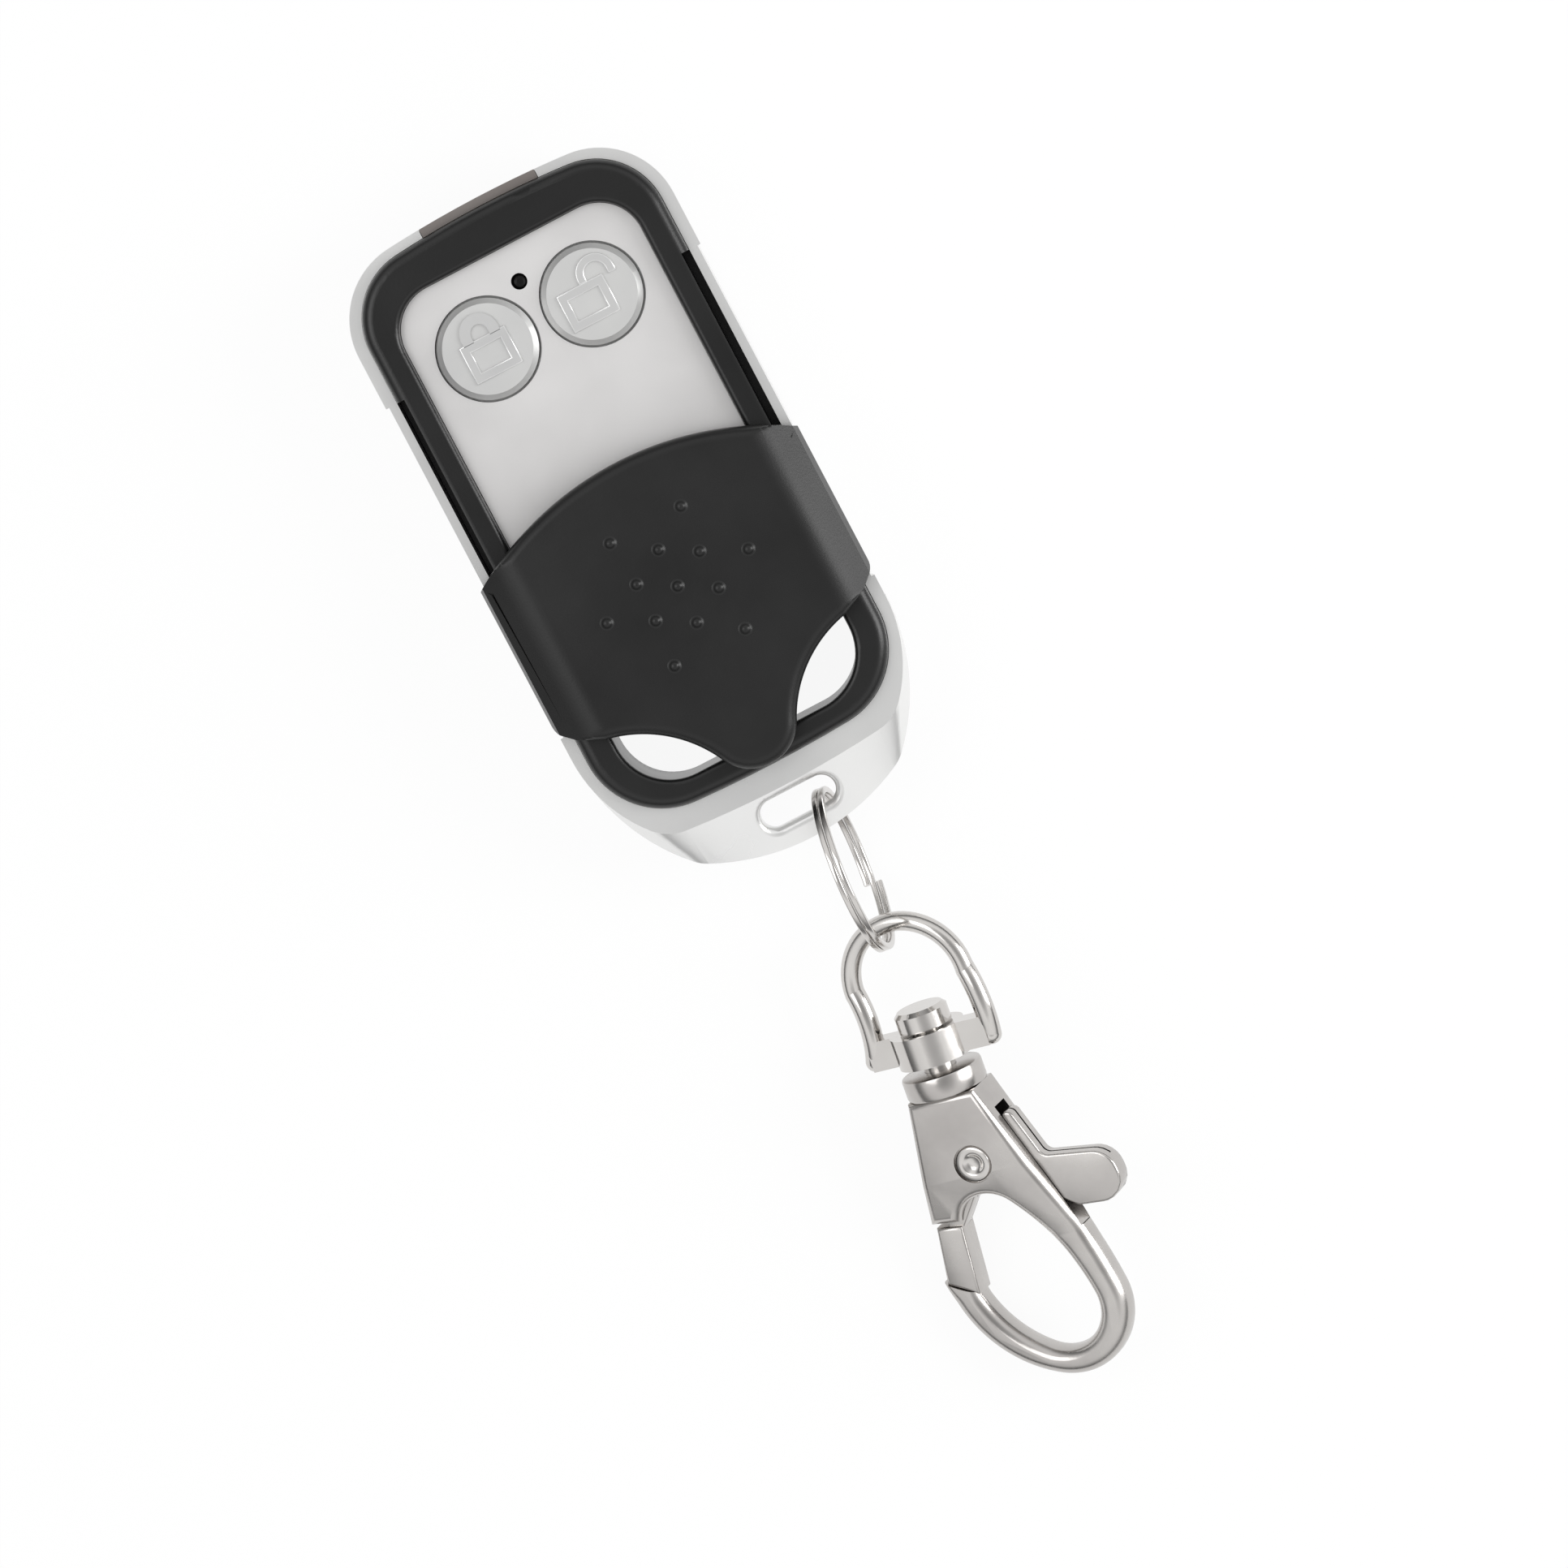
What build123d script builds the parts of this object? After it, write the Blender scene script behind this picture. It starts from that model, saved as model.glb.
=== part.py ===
from build123d import *
from math import cos, radians, sin
import os

# Alarm key fob with a sliding cover, a split ring and a swivel clasp, in millimetres.
# The origin is on the flat back of the fob. +Y runs to the end away from the ring, +X to the
# right button and +Z out of the front.

# Fob outline
FRAME_HALF = 14.95
TRACK_HALF = 14.66
FRAME_TOP = 30.6
TOP_DROP = 1.1
FRAME_TOP_CORNER = 7.0
SIDE_END = -15.0
TIP_END = -30.3
TIP_CORNER = (9.5, -27.9)
FACE_END = -25.2
FACE_CORNER = (10.6, -24.6)
LOW_CORNER = 4.0
FRAME_WALL = 0.8
FIT = 0.05

# Fob heights
FRAME_BACK = 0.6
LEDGE_BACK = 1.6
LEDGE_FRONT = 2.6
LEDGE_WIDTH = 0.6
TAB_BACK = 5.4
TIP_FRONT = 7.4
FRAME_FRONT = 9.2
RIM_TOP = 10.6
DRAFT = 0.45

# Track, groove and antenna gap
TRACK_LOW = -13.0
TRACK_HIGH = 18.4
GROOVE_WIDTH = 0.7
GROOVE_FLOOR = 5.4
UNDERCUT_TOP = 6.5
UNDERCUT_DEPTH = 0.6
ANTENNA_HALF = 5.5

# Key ring slot
SLOT_X = 0.3
SLOT_Y = -27.0
SLOT_LENGTH = 6.9
SLOT_WIDTH = 2.5
SLOT_ROUNDING = 0.6

# Panel, window and cavity
PANEL_HALF = 11.2
PANEL_TOP = 25.9
PANEL_LOW = -3.0
PANEL_CORNER = 4.0
PANEL_LOW_CORNER = 1.5
PANEL_SEAT = 8.6
PLATE_THICK = 0.8
WINDOW_HALF = 11.0
WINDOW_TOP = -4.6
WINDOW_LOW = -20.8
WINDOW_CORNER = 5.0
WINDOW_TOP_CORNER = 2.0
CAVITY_HALF = 11.3
CAVITY_TOP_Y = 27.2
CAVITY_LOW_Y = -2.6
CAVITY_CORNER = 1.5
CAVITY_CEILING = 7.9

# Buttons
BUTTON_X = 4.95
BUTTON_Y = 18.9
BUTTON_RADIUS = 4.3
BUTTON_GAP = 0.2
BUTTON_PROUD = 0.75
BUTTON_BEVEL = 0.45
FLANGE_RADIUS = 4.75
FLANGE_THICK = 0.4
FLANGE_GAP = 0.1
BUTTON_TRAVEL = 0.4
LED_Y = 22.7
LED_HOLE = 0.7
LED_RADIUS = 0.9

# Board and cell
BOARD_BACK = 4.8
BOARD_THICK = 0.8
BOARD_MARGIN = 0.4
CELL_RADIUS = 10.0
CELL_THICK = 2.5
CELL_Y = 8.6
STRIP_THICK = 0.25
STRIP_WIDTH = 4.0
BOARD_FRONT = BOARD_BACK + BOARD_THICK
CELL_BACK = LEDGE_BACK + 2 * FIT + STRIP_THICK
CONTACT_RADIUS = 3.5
SWITCH_SIDE = 4.5
PLUNGER_HEIGHT = 0.35
PLUNGER_RADIUS = 1.1
LED_DROP = 0.15
CHIP_X = 4.6
CHIP_Y = 8.0
CHIP_WIDTH = 4.0
CHIP_LENGTH = 5.0
CHIP_HEIGHT = 1.5
CHIP_STAND = 0.1
RESONATOR_RADIUS = 2.6
RESONATOR_RIM = 0.4
ANTENNA_Y = 25.6
ANTENNA_Z = 7.2
ANTENNA_WIRE = 0.35
LIP_GAP = 0.1
LIP_THICK = 0.4
LIP_HEIGHT = 0.8

# Screws
SCREW_X = 9.4
SCREW_TOP_Y = 25.0
SCREW_LOW_Y = -0.8
BOSS_RADIUS = 2.0
SCREW_RADIUS = 0.85
SCREW_HEAD_RADIUS = 1.6
SCREW_HEAD_HEIGHT = 0.9
SCREW_LENGTH = 5.5
SCREW_CLEARANCE = 0.05

# Sliding cover, drawn in its open place
COVER_HALF = 15.07
COVER_UNDER = 10.9
COVER_TOP = 13.1
COVER_SKIRT = 9.5
COVER_APEX = 5.5
COVER_SIDE_TOP = 1.1
COVER_SIDE_LOW = -12.3
COVER_TONGUE = -22.9
COVER_TRAVEL = 18.0
COVER_LOW_CORNER = (13.6, -13.6)
SCALLOP_START = (11.4, -14.7)
SCALLOP_MIDDLE = (6.9, -16.7)
SCALLOP_END = (3.5, -20.8)
COVER_FLAT = 11.6
COVER_EDGE_DROP = 2.0
COVER_ROUNDING = 0.8
LEG_CLEARANCE = 0.1
LEG_INNER = FRAME_HALF - FRAME_WALL - 0.3 - GROOVE_WIDTH + LEG_CLEARANCE
LEG_OUTER = FRAME_HALF - FRAME_WALL - 0.3 + FIT - LEG_CLEARANCE
LEG_TOP = 0.0
LEG_LOW = -11.6
DOT_RADIUS = 0.45
DOT_HEIGHT = 0.3
DOT_SPHERE = 0.5
DOT_CENTRE_Y = -6.07
DOT_INNER = 3.45
DOT_OUTER = 6.7

# Split ring
RING_OUTER = 7.9
RING_INNER = 6.8
RING_TURN = 0.6
RING_PITCH = 0.72
RING_LEAN = 8.0
RING_YAW = 5.6
RING_X = 1.7
RING_Y = -34.25
RING_Z = 7.97
RING_START = 71.0

# Clasp, given by its distance along the clasp axis from the top of the shackle
CLASP_X = 2.4
CLASP_Y = -38.8
CLASP_Z = 7.75
CLASP_YAW = 8.2
CLASP_PITCH = 7.0
CLASP_ROLL = 25.0
SHACKLE_HALF = 5.3
SHACKLE_FOOT = 5.6
SHACKLE_WIRE = 0.9
BOSS_EXTRA = 0.2
SHACKLE_LENGTH = 13.3
YOKE_TOP = 10.5
YOKE_HEIGHT = 2.6
YOKE_DEPTH = 2.0
BOSS_OUTER = 3.3
PIN_RADIUS = 1.4
PIN_CLEARANCE = 0.05
HEAD_TOP = 8.6
HEAD_HEIGHT = 1.75
HEAD_RADIUS = 2.35
HEAD_CHAMFER = 0.35
COLLAR_TOP = 14.2
COLLAR_HEIGHT = 2.0
COLLAR_RADIUS = 3.55
PIN_DEPTH = 1.9
CLASP_LENGTH = 44.0
BODY_TOP = COLLAR_TOP + COLLAR_HEIGHT
BODY_DEPTH = 5.0
HOOK_DEPTH = 3.0
BODY_FULL_END = 23.5
HOOK_START = 30.5
BODY_ROUNDING = 0.8
PIVOT_X = 1.0
PIVOT_S = 22.5
CHEEK_GAP = 2.2
LEVER_DEPTH = 2.0
LEVER_SHEET = 0.5
LEVER_HUB = 2.4
LEVER_BORE = 1.02
RIVET_RADIUS = 0.95
RIVET_HEAD = 1.6
RIVET_HEAD_DEPTH = 0.5
RIVET_CLEARANCE = 0.05
GATE_REACH = 11.9
GATE_GAP = 0.3
GATE_DEPTH = 2.8
HOOK_NECK = (3.3, -16.2)
HOOK_SHOULDER = (7.8, -29.0)
HOOK_RIGHT = (9.6, -36.0)
HOOK_BOTTOM = (1.5, -42.7)
HOOK_TIP_OUTER = (-6.1, -31.5)
HOOK_TIP_INNER = (-3.5, -31.5)
EYE_BOTTOM = (1.3, -40.1)
EYE_RIGHT = (6.9, -36.2)
EYE_TOP = (2.6, -26.6)
EYE_LEFT = (-2.4, -27.5)
CHEEK_CORNER = (-5.2, -27.2)
CHEEK_NECK = (-3.1, -16.2)
GATE_ROOM = 5.6
SLOT_OUTLINE = [
    (-2.2, -17.0), (9.0, -17.0), (14.0, -30.2), (8.0, -30.2), (2.6, -25.6), (1.9, -25.35),
    (0.9, -27.2), (0.5, -29.0), (-4.7, -29.0), (-4.25, -27.3)
]
LEVER_OUTLINE = [
    (5.0, -18.6), (6.75, -23.5), (11.6, -24.6), (13.3, -27.2), (11.7, -28.9), (8.4, -28.5), (2.4, -24.4),
    (0.2, -24.7), (-2.7, -28.3), (-2.8, -29.5), (-4.3, -29.5), (-3.95, -27.2), (-1.2, -21.6), (3.0, -20.5)
]
GATE_OUTLINE = [(-4.95, -27.6), (-2.55, -27.9), (-3.1, -34.5), (-5.9, -34.5)]
FOLD_OUTLINE = [
    (-0.9, -20.0), (3.0, -19.6), (4.4, -17.5), (6.0, -17.5), (7.6, -23.2), (12.2, -24.0), (12.5, -26.9),
    (11.3, -28.1), (8.3, -27.6), (3.0, -23.9), (2.4, -26.0), (-0.9, -26.0)
]
DIMPLE_RADIUS = 0.8
DIMPLE_DEPTH = 0.35
SPRING_WIRE = 0.14
SPRING_RADIUS = 1.35
SPRING_PITCH = 0.32

os.makedirs("parts", exist_ok=True)


def save(piece, name):
    """Label a finished piece and write it under its own name."""
    piece.part.label = name
    export_step(piece.part, "parts/" + name + ".step")


# Outlines shared by several pieces

def fob_outline(half, top, top_radius, corner, tip):
    """Closed outline of the fob with a shallow arc at each end."""
    with BuildSketch() as outline:
        with BuildLine():
            ThreePointArc((-half, top - TOP_DROP), (0, top), (half, top - TOP_DROP))
            Line((half, top - TOP_DROP), (half, SIDE_END))
            TangentArc((half, SIDE_END), corner, tangent=(0, -1))
            ThreePointArc(corner, (0, tip), (-corner[0], corner[1]))
            TangentArc((-half, SIDE_END), (-corner[0], corner[1]), tangent=(0, -1))
            Line((-half, SIDE_END), (-half, top - TOP_DROP))
        make_face()
        fillet(outline.vertices().group_by(Axis.Y)[-1], top_radius)
        fillet(outline.vertices().group_by(Axis.Y)[0], LOW_CORNER)
    return outline.sketch


def rounded_area(half, top, low, top_radius, low_radius):
    """Rectangle with its own corner radius at each end."""
    with BuildSketch() as area:
        with Locations((0, (top + low) / 2)):
            Rectangle(2 * half, top - low)
        fillet(area.vertices().group_by(Axis.Y)[-1], top_radius)
        fillet(area.vertices().group_by(Axis.Y)[0], low_radius)
    return area.sketch


def housing_outline(grow):
    """Outline of the black housing, grown or shrunk all round."""
    half = FRAME_HALF - FRAME_WALL - 0.3 + grow
    top = FRAME_TOP - FRAME_WALL + grow
    low = WINDOW_LOW - 2.3 - grow
    with BuildSketch() as outline:
        with BuildLine():
            ThreePointArc((-half, top - TOP_DROP), (0, top), (half, top - TOP_DROP))
            Line((half, top - TOP_DROP), (half, low + 0.8))
            ThreePointArc((half, low + 0.8), (0, low), (-half, low + 0.8))
            Line((-half, low + 0.8), (-half, top - TOP_DROP))
        make_face()
        fillet(outline.vertices().group_by(Axis.Y)[-1], FRAME_TOP_CORNER - FRAME_WALL + grow)
        fillet(outline.vertices().group_by(Axis.Y)[0], 7.0 + grow)
    return outline.sketch


full_outline = fob_outline(FRAME_HALF, FRAME_TOP, FRAME_TOP_CORNER, TIP_CORNER, TIP_END)
face_outline = fob_outline(FRAME_HALF, FRAME_TOP, FRAME_TOP_CORNER, FACE_CORNER, FACE_END)
back_outline = fob_outline(
    FRAME_HALF - DRAFT,
    FRAME_TOP - DRAFT,
    FRAME_TOP_CORNER - DRAFT,
    (FACE_CORNER[0] - DRAFT / 2, FACE_CORNER[1] + DRAFT),
    FACE_END + DRAFT,
)
panel_pocket = rounded_area(PANEL_HALF, PANEL_TOP, PANEL_LOW, PANEL_CORNER, PANEL_LOW_CORNER)
window_area = rounded_area(WINDOW_HALF, WINDOW_TOP, WINDOW_LOW, WINDOW_TOP_CORNER, WINDOW_CORNER)
cavity_area = rounded_area(CAVITY_HALF, CAVITY_TOP_Y, CAVITY_LOW_Y, CAVITY_CORNER, CAVITY_CORNER)
HOUSING_SIDE = FRAME_HALF - FRAME_WALL - 0.3
screw_places = [
    (SCREW_X, SCREW_TOP_Y),
    (-SCREW_X, SCREW_TOP_Y),
    (SCREW_X, SCREW_LOW_Y),
    (-SCREW_X, SCREW_LOW_Y),
]

# Metal frame: drafted wall, wedge end with the key ring slot, inner ledge and antenna gap

with BuildPart() as metal_frame:
    with BuildSketch(Plane.XY.offset(FRAME_BACK)):
        add(back_outline)
    with BuildSketch(Plane.XY.offset(FRAME_FRONT)):
        add(face_outline)
    loft(ruled=True)
    with BuildSketch(Plane.XY.offset(TAB_BACK)):
        add(full_outline)
        with Locations((0, SIDE_END)):
            Rectangle(4 * FRAME_HALF, 4 * FRAME_TOP, align=(Align.CENTER, Align.MIN), mode=Mode.SUBTRACT)
    extrude(amount=TIP_FRONT - TAB_BACK)
    with BuildSketch(Plane.XY.offset(TIP_FRONT)):
        add(full_outline)
        with Locations((0, SIDE_END)):
            Rectangle(4 * FRAME_HALF, 4 * FRAME_TOP, align=(Align.CENTER, Align.MIN), mode=Mode.SUBTRACT)
    with BuildSketch(Plane.XY.offset(FRAME_FRONT)):
        add(face_outline)
        with Locations((0, SIDE_END)):
            Rectangle(4 * FRAME_HALF, 4 * FRAME_TOP, align=(Align.CENTER, Align.MIN), mode=Mode.SUBTRACT)
    loft(ruled=True)
    with BuildSketch(Plane.XY):
        add(housing_outline(FIT - LEDGE_WIDTH))
    extrude(amount=RIM_TOP, mode=Mode.SUBTRACT)
    with BuildSketch(Plane.XY):
        add(housing_outline(FIT))
    extrude(amount=LEDGE_BACK, mode=Mode.SUBTRACT)
    with BuildSketch(Plane.XY.offset(LEDGE_FRONT)):
        add(housing_outline(FIT))
    extrude(amount=RIM_TOP, mode=Mode.SUBTRACT)
    with BuildSketch(Plane.XY):
        with Locations((0, FRAME_TOP)):
            Rectangle(2 * ANTENNA_HALF, 4 * FRAME_WALL + 2 * LEDGE_WIDTH)
    extrude(amount=RIM_TOP, mode=Mode.SUBTRACT)
    with BuildSketch(Plane.XY):
        with Locations((SLOT_X, SLOT_Y)):
            SlotOverall(SLOT_LENGTH, SLOT_WIDTH)
    extrude(amount=RIM_TOP, mode=Mode.SUBTRACT)
    slot_edges = metal_frame.edges().filter_by_position(
        Axis.Y, SLOT_Y - SLOT_WIDTH / 2 - FIT, SLOT_Y + SLOT_WIDTH / 2 + FIT
    ).filter_by_position(Axis.X, SLOT_X - SLOT_LENGTH / 2 - FIT, SLOT_X + SLOT_LENGTH / 2 + FIT)
    fillet(slot_edges.filter_by(Axis.Z, reverse=True), SLOT_ROUNDING)
    with BuildSketch(Plane.XY):
        for side in (-1, 1):
            with Locations((side * (TRACK_HALF + FRAME_WALL), (TRACK_LOW + TRACK_HIGH) / 2)):
                Rectangle(2 * FRAME_WALL, TRACK_HIGH - TRACK_LOW)
    extrude(amount=RIM_TOP, mode=Mode.SUBTRACT)
save(metal_frame, "metal_frame")

# Antenna window: the plastic bridge across the gap at the frame's top end

with BuildPart() as antenna_window:
    with BuildSketch(Plane.XY.offset(FRAME_BACK)):
        add(back_outline)
    with BuildSketch(Plane.XY.offset(FRAME_FRONT)):
        add(face_outline)
    loft(ruled=True)
    with BuildSketch(Plane.XY):
        add(housing_outline(FIT))
    extrude(amount=RIM_TOP, mode=Mode.SUBTRACT)
    with BuildSketch(Plane.XY):
        with Locations((0, FRAME_TOP)):
            Rectangle(2 * (ANTENNA_HALF - FIT), 4 * FRAME_WALL)
    extrude(amount=RIM_TOP, mode=Mode.INTERSECT)
save(antenna_window, "antenna_window")

# Front housing: shell with a rounded rim, grooves for the cover's legs, bosses and window

with BuildPart() as front_housing:
    with BuildSketch(Plane.XY.offset(LEDGE_FRONT)):
        add(housing_outline(0))
    extrude(amount=RIM_TOP - LEDGE_FRONT)
    fillet(front_housing.faces().sort_by(Axis.Z)[-1].edges(), 1.0)
    with BuildSketch(Plane.XY.offset(LEDGE_BACK)):
        add(housing_outline(-LEDGE_WIDTH))
    extrude(amount=LEDGE_FRONT - LEDGE_BACK)
    with BuildSketch(Plane.XY.offset(PANEL_SEAT)):
        add(panel_pocket)
    extrude(amount=RIM_TOP, mode=Mode.SUBTRACT)
    with BuildSketch(Plane.XY):
        add(window_area)
    extrude(amount=2 * RIM_TOP, mode=Mode.SUBTRACT)
    with BuildSketch(Plane.XY.offset(PANEL_SEAT + PLATE_THICK)):
        with Locations((0, (PANEL_LOW + WINDOW_TOP) / 2)):
            Rectangle(2 * WINDOW_HALF, 2 * PANEL_CORNER)
    extrude(amount=RIM_TOP, mode=Mode.SUBTRACT)
    inner_rim = front_housing.faces().sort_by(Axis.Z)[-1].inner_wires().edges()
    fillet(inner_rim, 0.5)
    with BuildSketch(Plane.XY):
        add(cavity_area)
    extrude(amount=CAVITY_CEILING, mode=Mode.SUBTRACT)
    with BuildSketch(Plane.XY.offset(LEDGE_BACK)):
        with Locations(*screw_places):
            Circle(BOSS_RADIUS)
    extrude(amount=CAVITY_CEILING - LEDGE_BACK)
    with Locations(*[(x, y, LEDGE_BACK) for x, y in screw_places]):
        Cylinder(
            SCREW_RADIUS + SCREW_CLEARANCE,
            SCREW_LENGTH,
            align=(Align.CENTER, Align.CENTER, Align.MIN),
            mode=Mode.SUBTRACT,
        )
    with BuildSketch(Plane.XY.offset(CAVITY_CEILING)):
        with Locations((BUTTON_X, BUTTON_Y), (-BUTTON_X, BUTTON_Y)):
            Circle(BUTTON_RADIUS + BUTTON_GAP)
        with Locations((0, LED_Y)):
            Circle(LED_RADIUS + BUTTON_GAP)
    extrude(amount=RIM_TOP, mode=Mode.SUBTRACT)
    with BuildSketch(Plane.XY.offset(GROOVE_FLOOR)):
        for side in (-1, 1):
            with Locations((side * (HOUSING_SIDE - GROOVE_WIDTH / 2 + GROOVE_WIDTH), (TRACK_LOW + TRACK_HIGH) / 2)):
                Rectangle(2 * GROOVE_WIDTH + GROOVE_WIDTH, TRACK_HIGH - TRACK_LOW)
    extrude(amount=RIM_TOP, mode=Mode.SUBTRACT)
    with BuildSketch(Plane.XY.offset(GROOVE_FLOOR)):
        for side in (-1, 1):
            with Locations((side * HOUSING_SIDE, (TRACK_LOW + TRACK_HIGH) / 2)):
                Rectangle(2 * (GROOVE_WIDTH + UNDERCUT_DEPTH), TRACK_HIGH - TRACK_LOW)
    extrude(amount=UNDERCUT_TOP - GROOVE_FLOOR, mode=Mode.SUBTRACT)
save(front_housing, "front_housing")

# Rear cover: plate with recessed screw holes, window opening and a locating lip

with BuildPart() as rear_cover:
    with BuildSketch(Plane.XY):
        add(housing_outline(0))
    extrude(amount=LEDGE_BACK)
    chamfer(rear_cover.faces().sort_by(Axis.Z)[0].edges(), 0.4)
    with BuildSketch(Plane.XY):
        add(window_area)
    extrude(amount=LEDGE_BACK, mode=Mode.SUBTRACT)
    with BuildSketch(Plane.XY.offset(LEDGE_BACK)):
        add(rounded_area(CAVITY_HALF - LIP_GAP, CAVITY_TOP_Y - LIP_GAP, CAVITY_LOW_Y + LIP_GAP, 1.4, 1.4))
        lip_inner = rounded_area(
            CAVITY_HALF - LIP_GAP - LIP_THICK,
            CAVITY_TOP_Y - LIP_GAP - LIP_THICK,
            CAVITY_LOW_Y + LIP_GAP + LIP_THICK,
            1.0,
            1.0,
        )
        add(lip_inner, mode=Mode.SUBTRACT)
        with Locations(*screw_places):
            Rectangle(2 * BOSS_RADIUS + 2.4, 2 * BOSS_RADIUS + 1.2, mode=Mode.SUBTRACT)
    extrude(amount=LIP_HEIGHT)
    with Locations(*[Location((x, y, 0), (180, 0, 0)) for x, y in screw_places]):
        CounterBoreHole(SCREW_RADIUS + 0.2, SCREW_HEAD_RADIUS + 0.2, SCREW_HEAD_HEIGHT + 0.1, depth=RIM_TOP)
save(rear_cover, "rear_cover")

# Housing screws: four pan heads that draw the rear cover to the bosses

with BuildPart() as housing_screws:
    with BuildSketch(Plane.XY.offset(0.1)):
        with Locations(*screw_places):
            Circle(SCREW_HEAD_RADIUS)
    extrude(amount=SCREW_HEAD_HEIGHT)
    with BuildSketch(Plane.XY.offset(0.1 + SCREW_HEAD_HEIGHT)):
        with Locations(*screw_places):
            Circle(SCREW_RADIUS)
    extrude(amount=SCREW_LENGTH)
    with BuildSketch(Plane.XY):
        with Locations(*screw_places):
            Rectangle(1.8, 0.4)
            Rectangle(0.4, 1.8)
    extrude(amount=0.1 + SCREW_HEAD_HEIGHT / 2, mode=Mode.SUBTRACT)
save(housing_screws, "housing_screws")

# Keypad plate with openings for two buttons and the lamp

with BuildPart() as keypad_plate:
    with BuildSketch(Plane.XY.offset(PANEL_SEAT)):
        add(rounded_area(
            PANEL_HALF - FIT, PANEL_TOP - FIT, PANEL_LOW + FIT, PANEL_CORNER - FIT, PANEL_LOW_CORNER - FIT
        ))
        with Locations((BUTTON_X, BUTTON_Y), (-BUTTON_X, BUTTON_Y)):
            Circle(BUTTON_RADIUS + BUTTON_GAP, mode=Mode.SUBTRACT)
        with Locations((0, LED_Y)):
            Circle(LED_HOLE, mode=Mode.SUBTRACT)
    extrude(amount=PLATE_THICK)
save(keypad_plate, "keypad_plate")


# Buttons and the switches that they press

def make_button(x):
    """Round cap with a bevelled top, and a wide flange that keeps it in the housing."""
    flange_top = CAVITY_CEILING - FLANGE_GAP
    with BuildPart() as button:
        with BuildSketch(Plane.XY.offset(flange_top - FLANGE_THICK)):
            with Locations((x, BUTTON_Y)):
                Circle(FLANGE_RADIUS)
        extrude(amount=FLANGE_THICK)
        with BuildSketch(Plane.XY.offset(flange_top)):
            with Locations((x, BUTTON_Y)):
                Circle(BUTTON_RADIUS)
        extrude(amount=PANEL_SEAT + PLATE_THICK + BUTTON_PROUD - flange_top)
        chamfer(button.faces().sort_by(Axis.Z)[-1].edges(), BUTTON_BEVEL)
    return button


def make_switch(x):
    """Low square switch with a round plunger just below the button's flange."""
    plunger_top = CAVITY_CEILING - FLANGE_GAP - FLANGE_THICK - BUTTON_TRAVEL - FIT
    with BuildPart() as switch:
        with BuildSketch(Plane.XY.offset(BOARD_FRONT)):
            with Locations((x, BUTTON_Y)):
                Rectangle(SWITCH_SIDE, SWITCH_SIDE)
        extrude(amount=plunger_top - PLUNGER_HEIGHT - BOARD_FRONT)
        with BuildSketch(Plane.XY.offset(plunger_top - PLUNGER_HEIGHT)):
            with Locations((x, BUTTON_Y)):
                Circle(PLUNGER_RADIUS)
        extrude(amount=PLUNGER_HEIGHT)
    return switch


lock_button = make_button(-BUTTON_X)
save(lock_button, "lock_button")
unlock_button = make_button(BUTTON_X)
save(unlock_button, "unlock_button")
lock_switch = make_switch(-BUTTON_X)
save(lock_switch, "lock_switch")
unlock_switch = make_switch(BUTTON_X)
save(unlock_switch, "unlock_switch")

# Circuit board, notched round the bosses, and what it carries

with BuildPart() as circuit_board:
    with BuildSketch(Plane.XY.offset(BOARD_BACK)):
        add(rounded_area(
            CAVITY_HALF - BOARD_MARGIN, CAVITY_TOP_Y - BOARD_MARGIN, CAVITY_LOW_Y + BOARD_MARGIN, 1.0, 1.0
        ))
        with Locations(*screw_places):
            Circle(BOSS_RADIUS + BOARD_MARGIN, mode=Mode.SUBTRACT)
        for x, y in screw_places:
            outward = 1 if y > BUTTON_Y else -1
            with Locations((x + (2 if x > 0 else -2), y + 2 * outward)):
                Rectangle(4 + 2 * BOARD_MARGIN, 4 + 2 * BOARD_MARGIN, mode=Mode.SUBTRACT)
    extrude(amount=BOARD_THICK)
save(circuit_board, "circuit_board")

with BuildPart() as indicator_led:
    with BuildSketch(Plane.XY.offset(BOARD_FRONT)):
        with Locations((0, LED_Y)):
            Circle(LED_RADIUS)
    extrude(amount=PANEL_SEAT - LED_DROP - BOARD_FRONT)
    fillet(indicator_led.faces().sort_by(Axis.Z)[-1].edges(), LED_RADIUS - 0.2)
save(indicator_led, "indicator_led")

with BuildPart() as encoder_chip:
    with BuildSketch(Plane.XY.offset(BOARD_FRONT + CHIP_STAND)):
        with Locations((CHIP_X, CHIP_Y)):
            Rectangle(CHIP_WIDTH, CHIP_LENGTH)
    extrude(amount=CHIP_HEIGHT)
    with BuildSketch(Plane.XY.offset(BOARD_FRONT)):
        with Locations((CHIP_X, CHIP_Y)):
            with GridLocations(CHIP_WIDTH + 0.8, CHIP_LENGTH / 4, 2, 4):
                Rectangle(1.2, 0.4)
    extrude(amount=CHIP_STAND + CHIP_HEIGHT / 2)
save(encoder_chip, "encoder_chip")

with BuildPart() as saw_resonator:
    with BuildSketch(Plane.XY.offset(BOARD_FRONT)):
        with Locations((-CHIP_X, CHIP_Y)):
            Circle(RESONATOR_RADIUS)
    extrude(amount=RESONATOR_RIM)
    with BuildSketch(Plane.XY.offset(BOARD_FRONT + RESONATOR_RIM)):
        with Locations((-CHIP_X, CHIP_Y)):
            Circle(RESONATOR_RADIUS - 0.4)
    extrude(amount=CHIP_HEIGHT - RESONATOR_RIM)
save(saw_resonator, "saw_resonator")

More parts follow.
